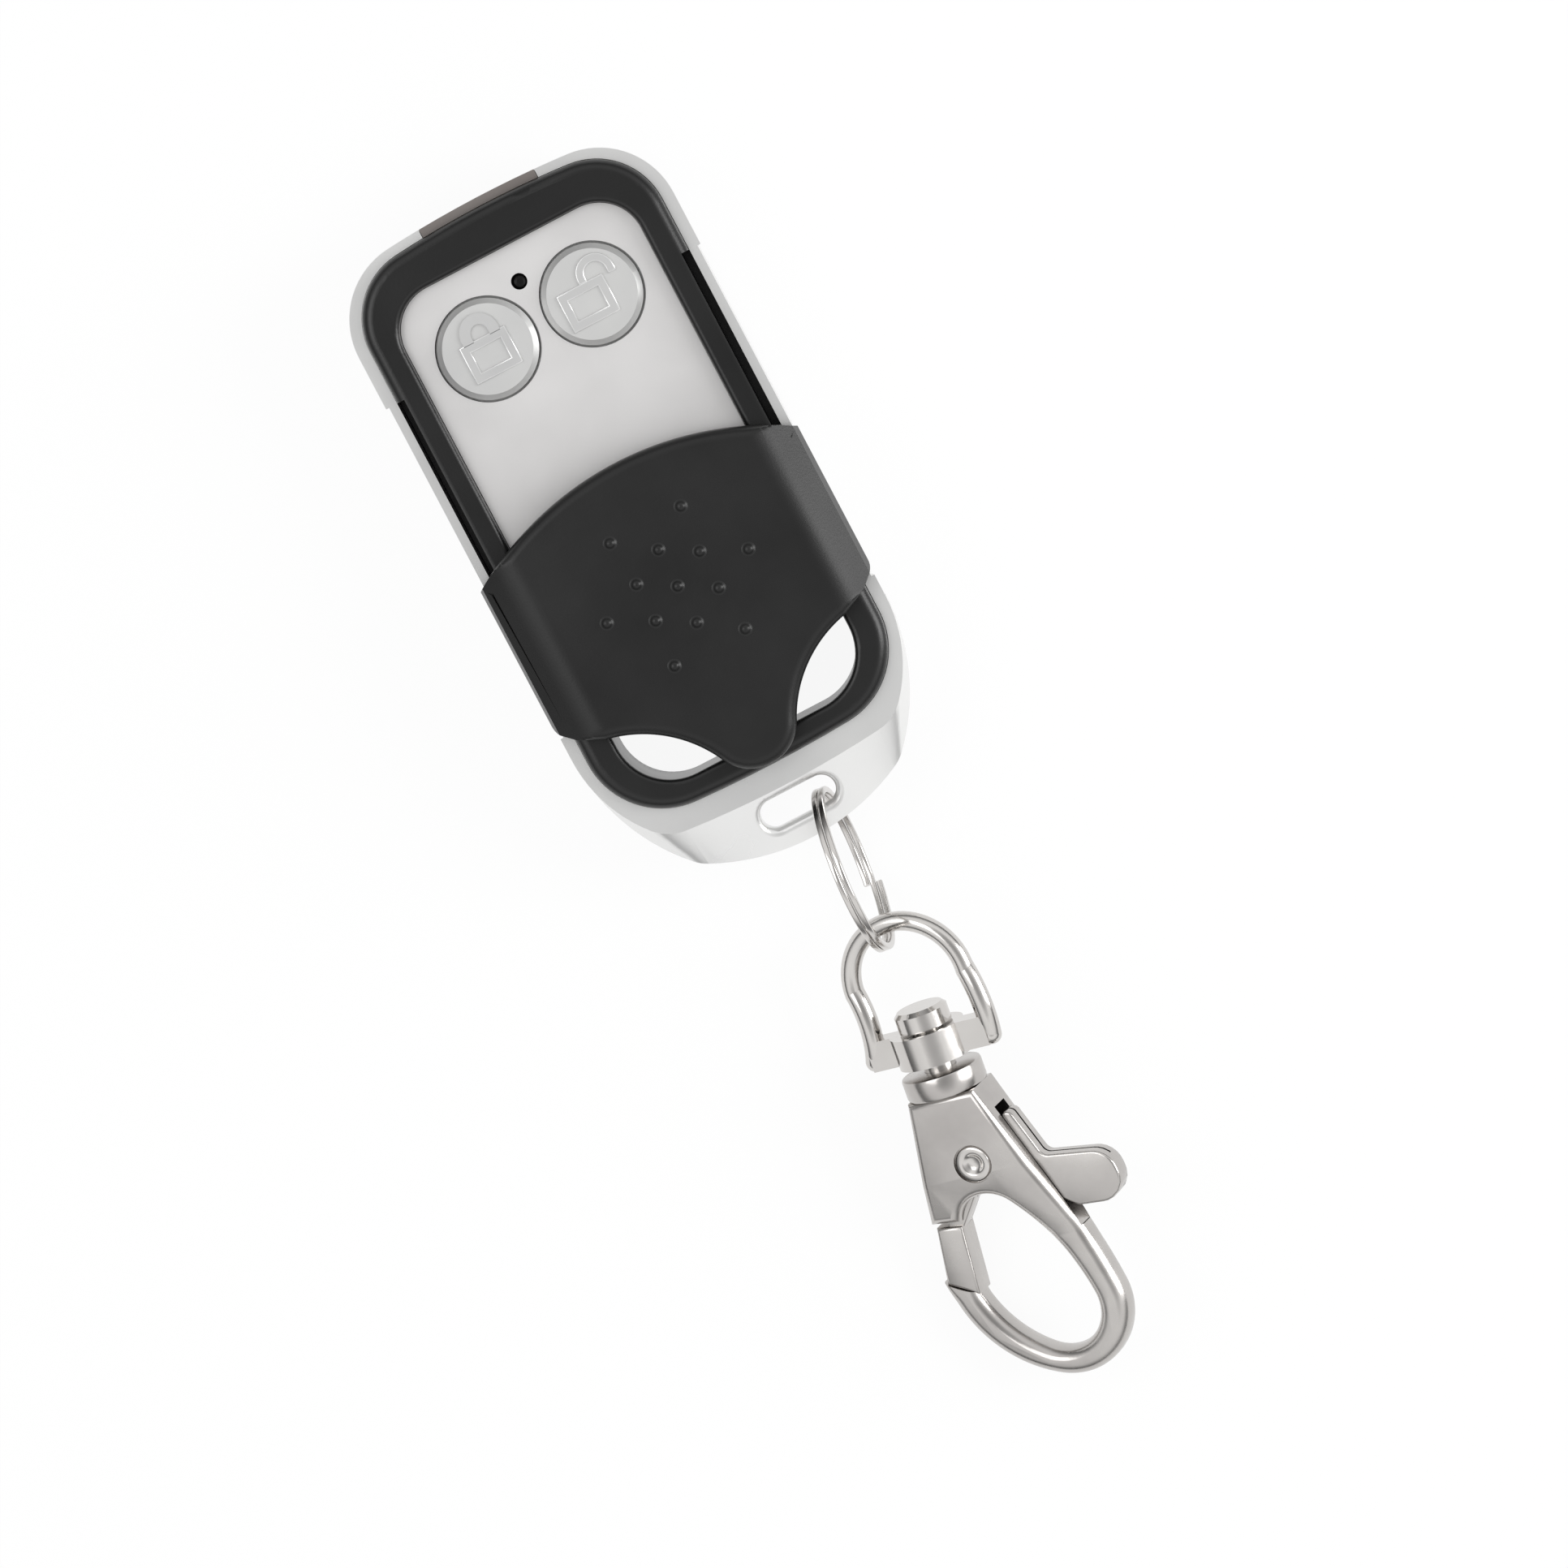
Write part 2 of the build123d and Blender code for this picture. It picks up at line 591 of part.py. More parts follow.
with BuildPart() as antenna_loop:
    with BuildLine() as loop_path:
        FilletPolyline(
            (-ANTENNA_HALF, ANTENNA_Y, BOARD_FRONT),
            (-ANTENNA_HALF, ANTENNA_Y, ANTENNA_Z),
            (ANTENNA_HALF, ANTENNA_Y, ANTENNA_Z),
            (ANTENNA_HALF, ANTENNA_Y, BOARD_FRONT),
            radius=0.8,
        )
    with BuildSketch(Plane.XY.offset(BOARD_FRONT)):
        with Locations((-ANTENNA_HALF, ANTENNA_Y)):
            Circle(ANTENNA_WIRE)
    sweep(path=loop_path.line)
save(antenna_loop, "antenna_loop")

# Coin cell under the board, with a clip below it and a contact above it

with BuildPart() as coin_cell:
    with BuildSketch(Plane.XY.offset(CELL_BACK)):
        with Locations((0, CELL_Y)):
            Circle(CELL_RADIUS)
    extrude(amount=CELL_THICK)
    fillet(coin_cell.faces().sort_by(Axis.Z)[0].edges(), 0.4)
save(coin_cell, "coin_cell")

with BuildPart() as cell_clip:
    with BuildSketch(Plane.XZ.offset(-CELL_Y - STRIP_WIDTH / 2)):
        with BuildLine():
            Polyline(
                (-CELL_RADIUS - 2 * STRIP_THICK, BOARD_BACK),
                (-CELL_RADIUS - 2 * STRIP_THICK, CELL_BACK - STRIP_THICK),
                (CELL_RADIUS + 2 * STRIP_THICK, CELL_BACK - STRIP_THICK),
                (CELL_RADIUS + 2 * STRIP_THICK, BOARD_BACK),
                (CELL_RADIUS + STRIP_THICK, BOARD_BACK),
                (CELL_RADIUS + STRIP_THICK, CELL_BACK),
                (-CELL_RADIUS - STRIP_THICK, CELL_BACK),
                (-CELL_RADIUS - STRIP_THICK, BOARD_BACK),
                close=True,
            )
        make_face()
    extrude(amount=STRIP_WIDTH)
save(cell_clip, "cell_clip")

with BuildPart() as cell_contact:
    with BuildSketch(Plane.XY.offset(CELL_BACK + CELL_THICK)):
        with Locations((0, CELL_Y)):
            Circle(CONTACT_RADIUS)
    extrude(amount=BOARD_BACK - CELL_BACK - CELL_THICK)
save(cell_contact, "cell_contact")

# Sliding cover: arched plate with wrapped sides, a tongue, grip dots and two hooked legs

with BuildSketch() as cover_outline:
    with BuildLine():
        Line((0, COVER_TONGUE), (0, COVER_APEX))
        TangentArc((0, COVER_APEX), (COVER_HALF, COVER_SIDE_TOP), tangent=(1, 0))
        Line((COVER_HALF, COVER_SIDE_TOP), (COVER_HALF, COVER_SIDE_LOW))
        Line((COVER_HALF, COVER_SIDE_LOW), COVER_LOW_CORNER)
        Line(COVER_LOW_CORNER, SCALLOP_START)
        scallop = ThreePointArc(SCALLOP_START, SCALLOP_MIDDLE, SCALLOP_END)
        TangentArc(SCALLOP_END, (0, COVER_TONGUE), tangent=scallop % 1)
    make_face()
    side_corners = cover_outline.vertices().filter_by_position(
        Axis.X, COVER_LOW_CORNER[0] - FIT, COVER_HALF + FIT
    )
    fillet(side_corners, COVER_ROUNDING)
    mirror(about=Plane.YZ)

with BuildPart() as slide_cover:
    with BuildSketch(Plane.XZ):
        with BuildLine():
            Line((0, COVER_UNDER), (0, COVER_TOP))
            Line((0, COVER_TOP), (COVER_FLAT, COVER_TOP))
            TangentArc((COVER_FLAT, COVER_TOP), (COVER_HALF, COVER_TOP - COVER_EDGE_DROP), tangent=(1, 0))
            Line((COVER_HALF, COVER_TOP - COVER_EDGE_DROP), (COVER_HALF, COVER_UNDER))
            Line((COVER_HALF, COVER_UNDER), (0, COVER_UNDER))
        make_face()
        mirror(about=Plane.YZ)
    extrude(amount=2 * FRAME_TOP, both=True)
    with BuildSketch(Plane.XY):
        add(cover_outline.sketch)
    extrude(amount=2 * COVER_TOP, mode=Mode.INTERSECT)
    with BuildSketch(Plane.XY.offset(COVER_SKIRT)):
        add(cover_outline.sketch)
        with Locations((0, (LEG_TOP + LEG_LOW) / 2)):
            Rectangle(2 * COVER_HALF, LEG_TOP - LEG_LOW, mode=Mode.INTERSECT)
            Rectangle(2 * LEG_INNER, LEG_TOP - LEG_LOW, mode=Mode.SUBTRACT)
    extrude(amount=COVER_UNDER - COVER_SKIRT)
    with BuildSketch(Plane.XZ.offset(-LEG_TOP)):
        with BuildLine():
            Polyline(
                (LEG_INNER, COVER_SKIRT),
                (LEG_INNER, UNDERCUT_TOP - LEG_CLEARANCE),
                (LEG_INNER - UNDERCUT_DEPTH, UNDERCUT_TOP - LEG_CLEARANCE),
                (LEG_INNER - UNDERCUT_DEPTH, GROOVE_FLOOR + LEG_CLEARANCE),
                (LEG_OUTER, GROOVE_FLOOR + LEG_CLEARANCE),
                (LEG_OUTER, COVER_SKIRT),
                close=True,
            )
        make_face()
        mirror(about=Plane.YZ)
    extrude(amount=LEG_TOP - LEG_LOW)
    dots = [(0, DOT_CENTRE_Y)]
    for step in range(6):
        inner_angle = radians(60 * step + 30)
        outer_angle = radians(60 * step)
        dots.append((DOT_INNER * cos(inner_angle), DOT_CENTRE_Y + DOT_INNER * sin(inner_angle)))
        dots.append((DOT_OUTER * cos(outer_angle), DOT_CENTRE_Y + DOT_OUTER * sin(outer_angle)))
    with Locations(*[(x, y, COVER_TOP + DOT_HEIGHT - DOT_SPHERE) for x, y in dots]):
        Sphere(DOT_SPHERE)
save(slide_cover, "slide_cover")

# Split ring: a flat strip wound twice round, standing in the slot

ring_along = Vector(-sin(radians(RING_YAW)), -cos(radians(RING_YAW)), 0)
ring_up = Vector(-sin(radians(RING_LEAN)), 0, cos(radians(RING_LEAN)))
ring_normal = ring_along.cross(ring_up).normalized()
ring_start = ring_along * cos(radians(RING_START)) - ring_up * sin(radians(RING_START))
ring_plane = Plane(
    origin=Vector(RING_X, RING_Y, RING_Z) - ring_normal * RING_PITCH,
    x_dir=ring_start,
    z_dir=ring_normal,
)
coil = ring_plane.location * Helix(RING_PITCH, 2 * RING_PITCH, (RING_OUTER + RING_INNER) / 2)
with BuildPart() as split_ring:
    with BuildSketch(Plane(origin=coil @ 0, x_dir=ring_plane.x_dir, z_dir=coil % 0)):
        Rectangle(RING_OUTER - RING_INNER, RING_TURN)
    sweep(path=coil, is_frenet=True)
save(split_ring, "split_ring")

# Clasp plane: local X across towards the thumb tab, local Y towards the split ring

yaw = radians(CLASP_YAW)
pitch = radians(CLASP_PITCH)
roll = radians(CLASP_ROLL)
clasp_axis = Vector(-sin(yaw) * cos(pitch), -cos(yaw) * cos(pitch), -sin(pitch))
level_across = Vector(cos(yaw), -sin(yaw), 0)
level_up = level_across.cross(clasp_axis * -1)
clasp_across = level_across * cos(roll) + level_up * sin(roll)
clasp_up = level_up * cos(roll) - level_across * sin(roll)
clasp = Plane(origin=(CLASP_X, CLASP_Y, CLASP_Z), x_dir=clasp_across, z_dir=clasp_up)


def across_plane(distance):
    """Plane square to the clasp axis, at a distance from the top of the shackle."""
    return Plane(
        origin=clasp.from_local_coords((0, -distance, 0)),
        x_dir=clasp_across,
        z_dir=clasp_axis,
    )


# Shackle: bent wire loop, yoke bar and round boss with the swivel bore

with BuildPart() as shackle:
    foot = SHACKLE_LENGTH - SHACKLE_WIRE
    arch_end = SHACKLE_WIRE + SHACKLE_HALF
    with BuildLine(clasp) as shackle_path:
        TangentArc((SHACKLE_FOOT, -foot), (SHACKLE_HALF, -arch_end), tangent=(0, 1), tangent_from_first=False)
        ThreePointArc((SHACKLE_HALF, -arch_end), (0, -SHACKLE_WIRE), (-SHACKLE_HALF, -arch_end))
        TangentArc((-SHACKLE_HALF, -arch_end), (-SHACKLE_FOOT, -foot), tangent=(0, -1))
    wire_path = shackle_path.wire()
    with BuildSketch(Plane(origin=wire_path @ 0, z_dir=wire_path % 0)):
        Circle(SHACKLE_WIRE)
    sweep(path=wire_path)
    with Locations(wire_path @ 0, wire_path @ 1):
        Sphere(SHACKLE_WIRE)
    with BuildSketch(across_plane(YOKE_TOP)):
        Rectangle(2 * SHACKLE_FOOT, YOKE_DEPTH)
    extrude(amount=YOKE_HEIGHT)
    with BuildSketch(across_plane(YOKE_TOP)):
        Circle(BOSS_OUTER)
    extrude(amount=YOKE_HEIGHT + BOSS_EXTRA)
    with BuildSketch(across_plane(YOKE_TOP)):
        Circle(PIN_RADIUS + PIN_CLEARANCE)
    extrude(amount=2 * YOKE_HEIGHT, mode=Mode.SUBTRACT)
save(shackle, "shackle")

# Swivel rivet: headed pin through the boss, set into the collar

with BuildPart() as swivel_rivet:
    with BuildSketch(across_plane(HEAD_TOP)):
        Circle(HEAD_RADIUS)
    extrude(amount=HEAD_HEIGHT)
    chamfer(swivel_rivet.edges().sort_by(Axis.Y)[-1], HEAD_CHAMFER)
    with BuildSketch(across_plane(HEAD_TOP + HEAD_HEIGHT)):
        Circle(PIN_RADIUS)
    extrude(amount=COLLAR_TOP + PIN_DEPTH - HEAD_TOP - HEAD_HEIGHT)
save(swivel_rivet, "swivel_rivet")

# Hook body: collar, two cheeks with a slot between them and the teardrop hook

with BuildSketch() as hook_profile:
    with BuildLine():
        right_edge = Line(HOOK_NECK, HOOK_SHOULDER)
        outer_side = TangentArc(HOOK_SHOULDER, HOOK_RIGHT, tangent=right_edge % 1)
        outer_end = TangentArc(HOOK_RIGHT, HOOK_BOTTOM, tangent=outer_side % 1)
        TangentArc(HOOK_BOTTOM, HOOK_TIP_OUTER, tangent=outer_end % 1)
        Line(HOOK_TIP_OUTER, HOOK_TIP_INNER)
        inner_tip = TangentArc(HOOK_TIP_INNER, EYE_BOTTOM, tangent=(0, -1))
        inner_end = TangentArc(EYE_BOTTOM, EYE_RIGHT, tangent=inner_tip % 1)
        inner_side = TangentArc(EYE_RIGHT, EYE_TOP, tangent=inner_end % 1)
        TangentArc(EYE_TOP, EYE_LEFT, tangent=inner_side % 1)
        Line(EYE_LEFT, CHEEK_CORNER)
        Line(CHEEK_CORNER, CHEEK_NECK)
        Line(CHEEK_NECK, HOOK_NECK)
    make_face()

with BuildPart() as hook_body:
    with BuildSketch(clasp):
        add(hook_profile.sketch)
    extrude(amount=BODY_DEPTH / 2, both=True)
    with BuildSketch(Plane(origin=clasp.origin, x_dir=clasp_up, z_dir=clasp_across)):
        with BuildLine():
            Polyline(
                (BODY_DEPTH / 2, BODY_TOP),
                (BODY_DEPTH / 2, BODY_FULL_END),
                (HOOK_DEPTH / 2, HOOK_START),
                (HOOK_DEPTH / 2, CLASP_LENGTH),
                (-HOOK_DEPTH / 2, CLASP_LENGTH),
                (-HOOK_DEPTH / 2, HOOK_START),
                (-BODY_DEPTH / 2, BODY_FULL_END),
                (-BODY_DEPTH / 2, BODY_TOP),
                close=True,
            )
        make_face()
    extrude(amount=CLASP_LENGTH, both=True, mode=Mode.INTERSECT)
    crossing = hook_body.edges().filter_by(Axis(clasp.origin, clasp_across))
    upright = hook_body.edges().filter_by(Axis(clasp.origin, clasp_up))
    fillet(hook_body.edges() - crossing - upright, BODY_ROUNDING)
    with BuildSketch(clasp):
        Polygon(*SLOT_OUTLINE, align=None)
    extrude(amount=CHEEK_GAP / 2, both=True, mode=Mode.SUBTRACT)
    with BuildSketch(clasp):
        with Locations((PIVOT_X, -PIVOT_S)):
            Circle(GATE_REACH + GATE_GAP)
        with Locations(HOOK_TIP_INNER):
            Rectangle(GATE_ROOM, 4 * GATE_ROOM, mode=Mode.INTERSECT)
    extrude(amount=BODY_DEPTH, both=True, mode=Mode.SUBTRACT)
    with BuildSketch(across_plane(COLLAR_TOP)):
        Circle(COLLAR_RADIUS)
    extrude(amount=COLLAR_HEIGHT)
    with BuildSketch(across_plane(COLLAR_TOP)):
        Circle(PIN_RADIUS + RIVET_CLEARANCE / 2)
    extrude(amount=PIN_DEPTH + FIT, mode=Mode.SUBTRACT)
    with BuildSketch(clasp):
        with Locations((PIVOT_X, -PIVOT_S)):
            Circle(RIVET_RADIUS + RIVET_CLEARANCE)
    extrude(amount=BODY_DEPTH, both=True, mode=Mode.SUBTRACT)
    for side in (1, -1):
        with BuildSketch(clasp.offset(side * (BODY_DEPTH / 2 - RIVET_HEAD_DEPTH))):
            with Locations((PIVOT_X, -PIVOT_S)):
                Circle(RIVET_HEAD + RIVET_CLEARANCE)
        extrude(amount=side * BODY_DEPTH, mode=Mode.SUBTRACT)
save(hook_body, "hook_body")

# Gate rivet: pin with a set head at each end and a dimple

with BuildPart() as gate_rivet:
    with BuildSketch(clasp):
        with Locations((PIVOT_X, -PIVOT_S)):
            Circle(RIVET_RADIUS)
    extrude(amount=BODY_DEPTH / 2, both=True)
    for side in (1, -1):
        with BuildSketch(clasp.offset(side * (BODY_DEPTH / 2 - RIVET_HEAD_DEPTH))):
            with Locations((PIVOT_X, -PIVOT_S)):
                Circle(RIVET_HEAD)
        extrude(amount=side * RIVET_HEAD_DEPTH)
        with BuildSketch(clasp.offset(side * BODY_DEPTH / 2)):
            with Locations((PIVOT_X, -PIVOT_S)):
                Circle(DIMPLE_RADIUS)
        extrude(amount=-side * DIMPLE_DEPTH, mode=Mode.SUBTRACT)
save(gate_rivet, "gate_rivet")

# Gate and thumb lever: folded sheet, open between its two sides, with a solid gate

with BuildPart() as gate_lever:
    with BuildSketch(clasp):
        Polygon(*LEVER_OUTLINE, align=None)
        with Locations((PIVOT_X, -PIVOT_S)):
            Circle(LEVER_HUB)
    extrude(amount=LEVER_DEPTH / 2, both=True)
    with BuildSketch(clasp):
        Polygon(*GATE_OUTLINE, align=None)
        with Locations((PIVOT_X, -PIVOT_S)):
            Circle(GATE_REACH, mode=Mode.INTERSECT)
    extrude(amount=GATE_DEPTH / 2, both=True)
    with BuildSketch(clasp):
        Polygon(*FOLD_OUTLINE, align=None)
    extrude(amount=LEVER_DEPTH / 2 - LEVER_SHEET, both=True, mode=Mode.SUBTRACT)
    with BuildSketch(clasp):
        with Locations((PIVOT_X, -PIVOT_S)):
            Circle(LEVER_BORE)
    extrude(amount=LEVER_DEPTH, both=True, mode=Mode.SUBTRACT)
save(gate_lever, "gate_lever")

# Gate spring: two turns of wire round the rivet, inside the lever

spring_base = Plane(
    origin=clasp.from_local_coords((PIVOT_X, -PIVOT_S, -SPRING_PITCH)),
    x_dir=clasp_across,
    z_dir=clasp_up,
)
turns = spring_base.location * Helix(SPRING_PITCH, 2 * SPRING_PITCH, SPRING_RADIUS)
with BuildPart() as gate_spring:
    with BuildSketch(Plane(origin=turns @ 0, z_dir=turns % 0)):
        Circle(SPRING_WIRE)
    sweep(path=turns, is_frenet=True)
save(gate_spring, "gate_spring")
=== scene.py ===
import bmesh
import bpy
import math
from mathutils import Matrix, Vector


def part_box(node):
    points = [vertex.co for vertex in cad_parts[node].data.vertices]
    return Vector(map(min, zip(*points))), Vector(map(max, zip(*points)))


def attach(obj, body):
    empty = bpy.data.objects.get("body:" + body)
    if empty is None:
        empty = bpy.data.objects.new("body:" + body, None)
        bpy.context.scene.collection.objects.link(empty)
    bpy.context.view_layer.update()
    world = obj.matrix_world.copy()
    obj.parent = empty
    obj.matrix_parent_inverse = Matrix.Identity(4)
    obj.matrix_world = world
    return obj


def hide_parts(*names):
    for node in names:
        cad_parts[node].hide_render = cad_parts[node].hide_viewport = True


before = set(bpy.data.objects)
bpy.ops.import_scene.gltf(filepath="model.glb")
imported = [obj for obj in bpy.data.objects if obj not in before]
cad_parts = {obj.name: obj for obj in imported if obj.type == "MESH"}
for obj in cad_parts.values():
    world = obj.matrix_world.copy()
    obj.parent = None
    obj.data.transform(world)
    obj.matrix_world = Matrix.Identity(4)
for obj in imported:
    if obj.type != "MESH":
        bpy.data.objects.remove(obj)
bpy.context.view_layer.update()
MM = 0.001


# Camera: looks down on the fob, its long axis tilted to the upper left

CAMERA_TILT, CAMERA_YAW, CAMERA_PITCH = 27.8, 2.5, 3.0
CAMERA_TARGET = (-0.02, -25.1, 9.2)
CAMERA_DISTANCE = 0.70
CAMERA_LENS, CAMERA_SENSOR = 190.6, 36.0


def add_camera():
    tilt, yaw, pitch = (math.radians(angle) for angle in (CAMERA_TILT, CAMERA_YAW, CAMERA_PITCH))
    towards = Vector((math.tan(yaw), math.tan(pitch), 1.0)).normalized()
    target = Vector(CAMERA_TARGET) * MM
    along = Vector((0.0, 1.0, 0.0))
    along = (along - along.dot(towards) * towards).normalized()
    across = along.cross(towards).normalized()
    right = across * math.cos(tilt) - along * math.sin(tilt)
    up = across * math.sin(tilt) + along * math.cos(tilt)
    turn = Matrix((right, up, towards)).transposed().to_4x4()
    data = bpy.data.cameras.new("camera")
    data.sensor_width = CAMERA_SENSOR
    data.lens = CAMERA_LENS
    data.clip_start = 0.05
    data.clip_end = 20.0
    camera = bpy.data.objects.new("camera", data)
    camera.matrix_world = Matrix.Translation(target + towards * CAMERA_DISTANCE) @ turn
    bpy.context.scene.collection.objects.link(camera)
    bpy.context.scene.camera = camera


add_camera()


# Materials

NOISE_ROUGHNESS = 0.55
NOISE_LOW, NOISE_HIGH = 0.3, 0.7
GRAIN_STRENGTH = 0.35
CLOUD_DETAIL, GRAIN_DETAIL = 4.0, 2.0


def new_material(name):
    material = bpy.data.materials.new(name)
    material.use_nodes = True
    tree = material.node_tree
    shader = tree.nodes["Principled BSDF"]
    return material, tree, shader


def noise(tree, scale, detail):
    place = tree.nodes.new("ShaderNodeTexCoord")
    texture = tree.nodes.new("ShaderNodeTexNoise")
    texture.inputs["Scale"].default_value = scale
    texture.inputs["Detail"].default_value = detail
    texture.inputs["Roughness"].default_value = NOISE_ROUGHNESS
    tree.links.new(place.outputs["Object"], texture.inputs["Vector"])
    return texture.outputs["Fac"]


def spread(tree, value, low, high):
    rescale = tree.nodes.new("ShaderNodeMapRange")
    rescale.inputs["From Min"].default_value = NOISE_LOW
    rescale.inputs["From Max"].default_value = NOISE_HIGH
    rescale.inputs["To Min"].default_value = low
    rescale.inputs["To Max"].default_value = high
    tree.links.new(value, rescale.inputs["Value"])
    return rescale.outputs["Result"]


def mixed(tree, value, first, second):
    mix = tree.nodes.new("ShaderNodeMix")
    mix.data_type = "RGBA"
    mix.inputs["A"].default_value = (*first, 1.0)
    mix.inputs["B"].default_value = (*second, 1.0)
    tree.links.new(value, mix.inputs["Factor"])
    return mix.outputs["Result"]


def surface(name, colours, rough, metallic=0.0, grain=900.0, grain_depth=0.02, cloud=60.0, specular=0.5):
    """Material with a slow change of colour and gloss, and a fine grain with its depth in millimetres."""
    material, tree, shader = new_material(name)
    slow = noise(tree, cloud, CLOUD_DETAIL)
    tree.links.new(mixed(tree, spread(tree, slow, 0.0, 1.0), *colours), shader.inputs["Base Color"])
    tree.links.new(spread(tree, slow, *rough), shader.inputs["Roughness"])
    fine = noise(tree, grain, GRAIN_DETAIL)
    bump = tree.nodes.new("ShaderNodeBump")
    bump.inputs["Strength"].default_value = GRAIN_STRENGTH
    bump.inputs["Distance"].default_value = grain_depth * MM
    tree.links.new(fine, bump.inputs["Height"])
    tree.links.new(bump.outputs["Normal"], shader.inputs["Normal"])
    shader.inputs["Metallic"].default_value = metallic
    shader.inputs["Specular IOR Level"].default_value = specular
    return material


frame_metal = surface("frame_metal", ((0.80, 0.80, 0.795), (0.85, 0.85, 0.84)), (0.26, 0.34),
                      metallic=0.8, grain=2500.0, grain_depth=0.01)
window_plastic = surface("window_plastic", ((0.16, 0.14, 0.13), (0.20, 0.18, 0.17)), (0.28, 0.38))
black_plastic = surface("black_plastic", ((0.004, 0.004, 0.004), (0.006, 0.006, 0.006)), (0.28, 0.36),
                        grain=4000.0, cloud=80.0, specular=0.45)
cover_plastic = surface("cover_plastic", ((0.008, 0.008, 0.008), (0.012, 0.012, 0.012)), (0.32, 0.40),
                        grain=5000.0, cloud=90.0, specular=0.34)
panel_metal = surface("panel_metal", ((0.70, 0.69, 0.685), (0.74, 0.73, 0.725)), (0.34, 0.44),
                      metallic=0.75, grain=6000.0, grain_depth=0.015)
button_silver = surface("button_silver", ((0.68, 0.68, 0.68), (0.73, 0.73, 0.72)), (0.26, 0.34),
                        metallic=0.65, grain=3000.0, grain_depth=0.006)
nickel = surface("nickel", ((0.58, 0.56, 0.54), (0.66, 0.64, 0.62)), (0.10, 0.20),
                 metallic=1.0, grain=1500.0, grain_depth=0.01, cloud=120.0)
cast_nickel = surface("cast_nickel", ((0.46, 0.44, 0.425), (0.58, 0.56, 0.54)), (0.18, 0.32),
                      metallic=1.0, cloud=150.0)
steel = surface("steel", ((0.50, 0.50, 0.50), (0.60, 0.60, 0.60)), (0.25, 0.38), metallic=1.0)
board_green = surface("board_green", ((0.015, 0.13, 0.05), (0.02, 0.17, 0.06)), (0.35, 0.45))
chip_black = surface("chip_black", ((0.015, 0.015, 0.015), (0.025, 0.025, 0.025)), (0.45, 0.55))
contact_brass = surface("contact_brass", ((0.66, 0.50, 0.22), (0.75, 0.58, 0.28)), (0.22, 0.34), metallic=1.0)
lens_dark = surface("lens_dark", ((0.004, 0.004, 0.004), (0.008, 0.007, 0.007)), (0.12, 0.18), specular=0.3)

NODE_MATERIALS = {
    "metal_frame": frame_metal,
    "antenna_window": window_plastic,
    "front_housing": black_plastic,
    "rear_cover": black_plastic,
    "housing_screws": steel,
    "keypad_plate": panel_metal,
    "lock_button": button_silver,
    "unlock_button": button_silver,
    "slide_cover": cover_plastic,
    "split_ring": nickel,
    "shackle": nickel,
    "swivel_rivet": nickel,
    "hook_body": cast_nickel,
    "gate_lever": cast_nickel,
    "gate_rivet": nickel,
    "gate_spring": steel,
    "circuit_board": board_green,
    "lock_switch": chip_black,
    "unlock_switch": chip_black,
    "indicator_led": lens_dark,
    "encoder_chip": chip_black,
    "saw_resonator": steel,
    "antenna_loop": contact_brass,
    "coin_cell": steel,
    "cell_clip": contact_brass,
    "cell_contact": contact_brass,
}
for name, material in NODE_MATERIALS.items():
    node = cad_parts[name]
    node.data.materials.clear()
    node.data.materials.append(material)


# Padlock icons: raised bands on the two button caps

BAND = 0.78
ICON_HALF_HEIGHT = 0.09
ICON_EDGE = 0.11
ARCH_STEPS = 24
ICON_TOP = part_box("lock_button")[1][2]


def rectangle(low_x, low_y, high_x, high_y):
    return [(low_x, low_y), (high_x, low_y), (high_x, high_y), (low_x, high_y)]


def padlock_body(low_x, low_y, high_x, high_y):
    """Outer and inner outline of a padlock's body."""
    return [rectangle(low_x, low_y, high_x, high_y),
            rectangle(low_x + BAND, low_y + BAND, high_x - BAND, high_y - BAND)]


def arch(centre_x, centre_y, outer, inner, left_foot, right_foot):
    """Band of a padlock's bow: down the left leg, round the inside and back over the outside."""
    turns = [math.pi * i / ARCH_STEPS for i in range(ARCH_STEPS + 1)]
    outside, inside = ([(centre_x + radius * math.cos(turn), centre_y + radius * math.sin(turn)) for turn in turns]
                       for radius in (outer, inner))
    points = [(centre_x + outer, right_foot)] + outside + [(centre_x - outer, left_foot)]
    points += [(centre_x - inner, left_foot)] + inside[::-1] + [(centre_x + inner, right_foot)]
    return points


def add_icon(name, outlines, centre, body):
    curve = bpy.data.curves.new(name, "CURVE")
    curve.dimensions = "2D"
    curve.fill_mode = "BOTH"
    curve.extrude = ICON_HALF_HEIGHT * MM
    curve.bevel_depth = ICON_EDGE * MM
    curve.bevel_resolution = 3
    curve.offset = -ICON_EDGE * MM
    for outline in outlines:
        spline = curve.splines.new("POLY")
        spline.points.add(len(outline) - 1)
        for point, (x, y) in zip(spline.points, outline):
            point.co = ((centre[0] + x) * MM, (centre[1] + y) * MM, 0.0, 1.0)
        spline.use_cyclic_u = True
    icon = bpy.data.objects.new(name, curve)
    icon.location = (0.0, 0.0, ICON_TOP)
    bpy.context.scene.collection.objects.link(icon)
    curve.materials.append(button_silver)
    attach(icon, body)


def button_centre(node):
    low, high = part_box(node)
    return ((low[0] + high[0]) / 2 / MM, (low[1] + high[1]) / 2 / MM)


add_icon("lock_icon", padlock_body(-2.17, -2.30, 2.17, 1.14) + [arch(0.0, 1.50, 1.60, 0.88, 1.10, 1.10)],
         button_centre("lock_button"), "lock_key")
add_icon("unlock_icon", padlock_body(-2.83, -2.28, 1.55, 1.17) + [arch(1.08, 1.45, 1.70, 0.95, 1.12, 0.90)],
         button_centre("unlock_button"), "unlock_key")


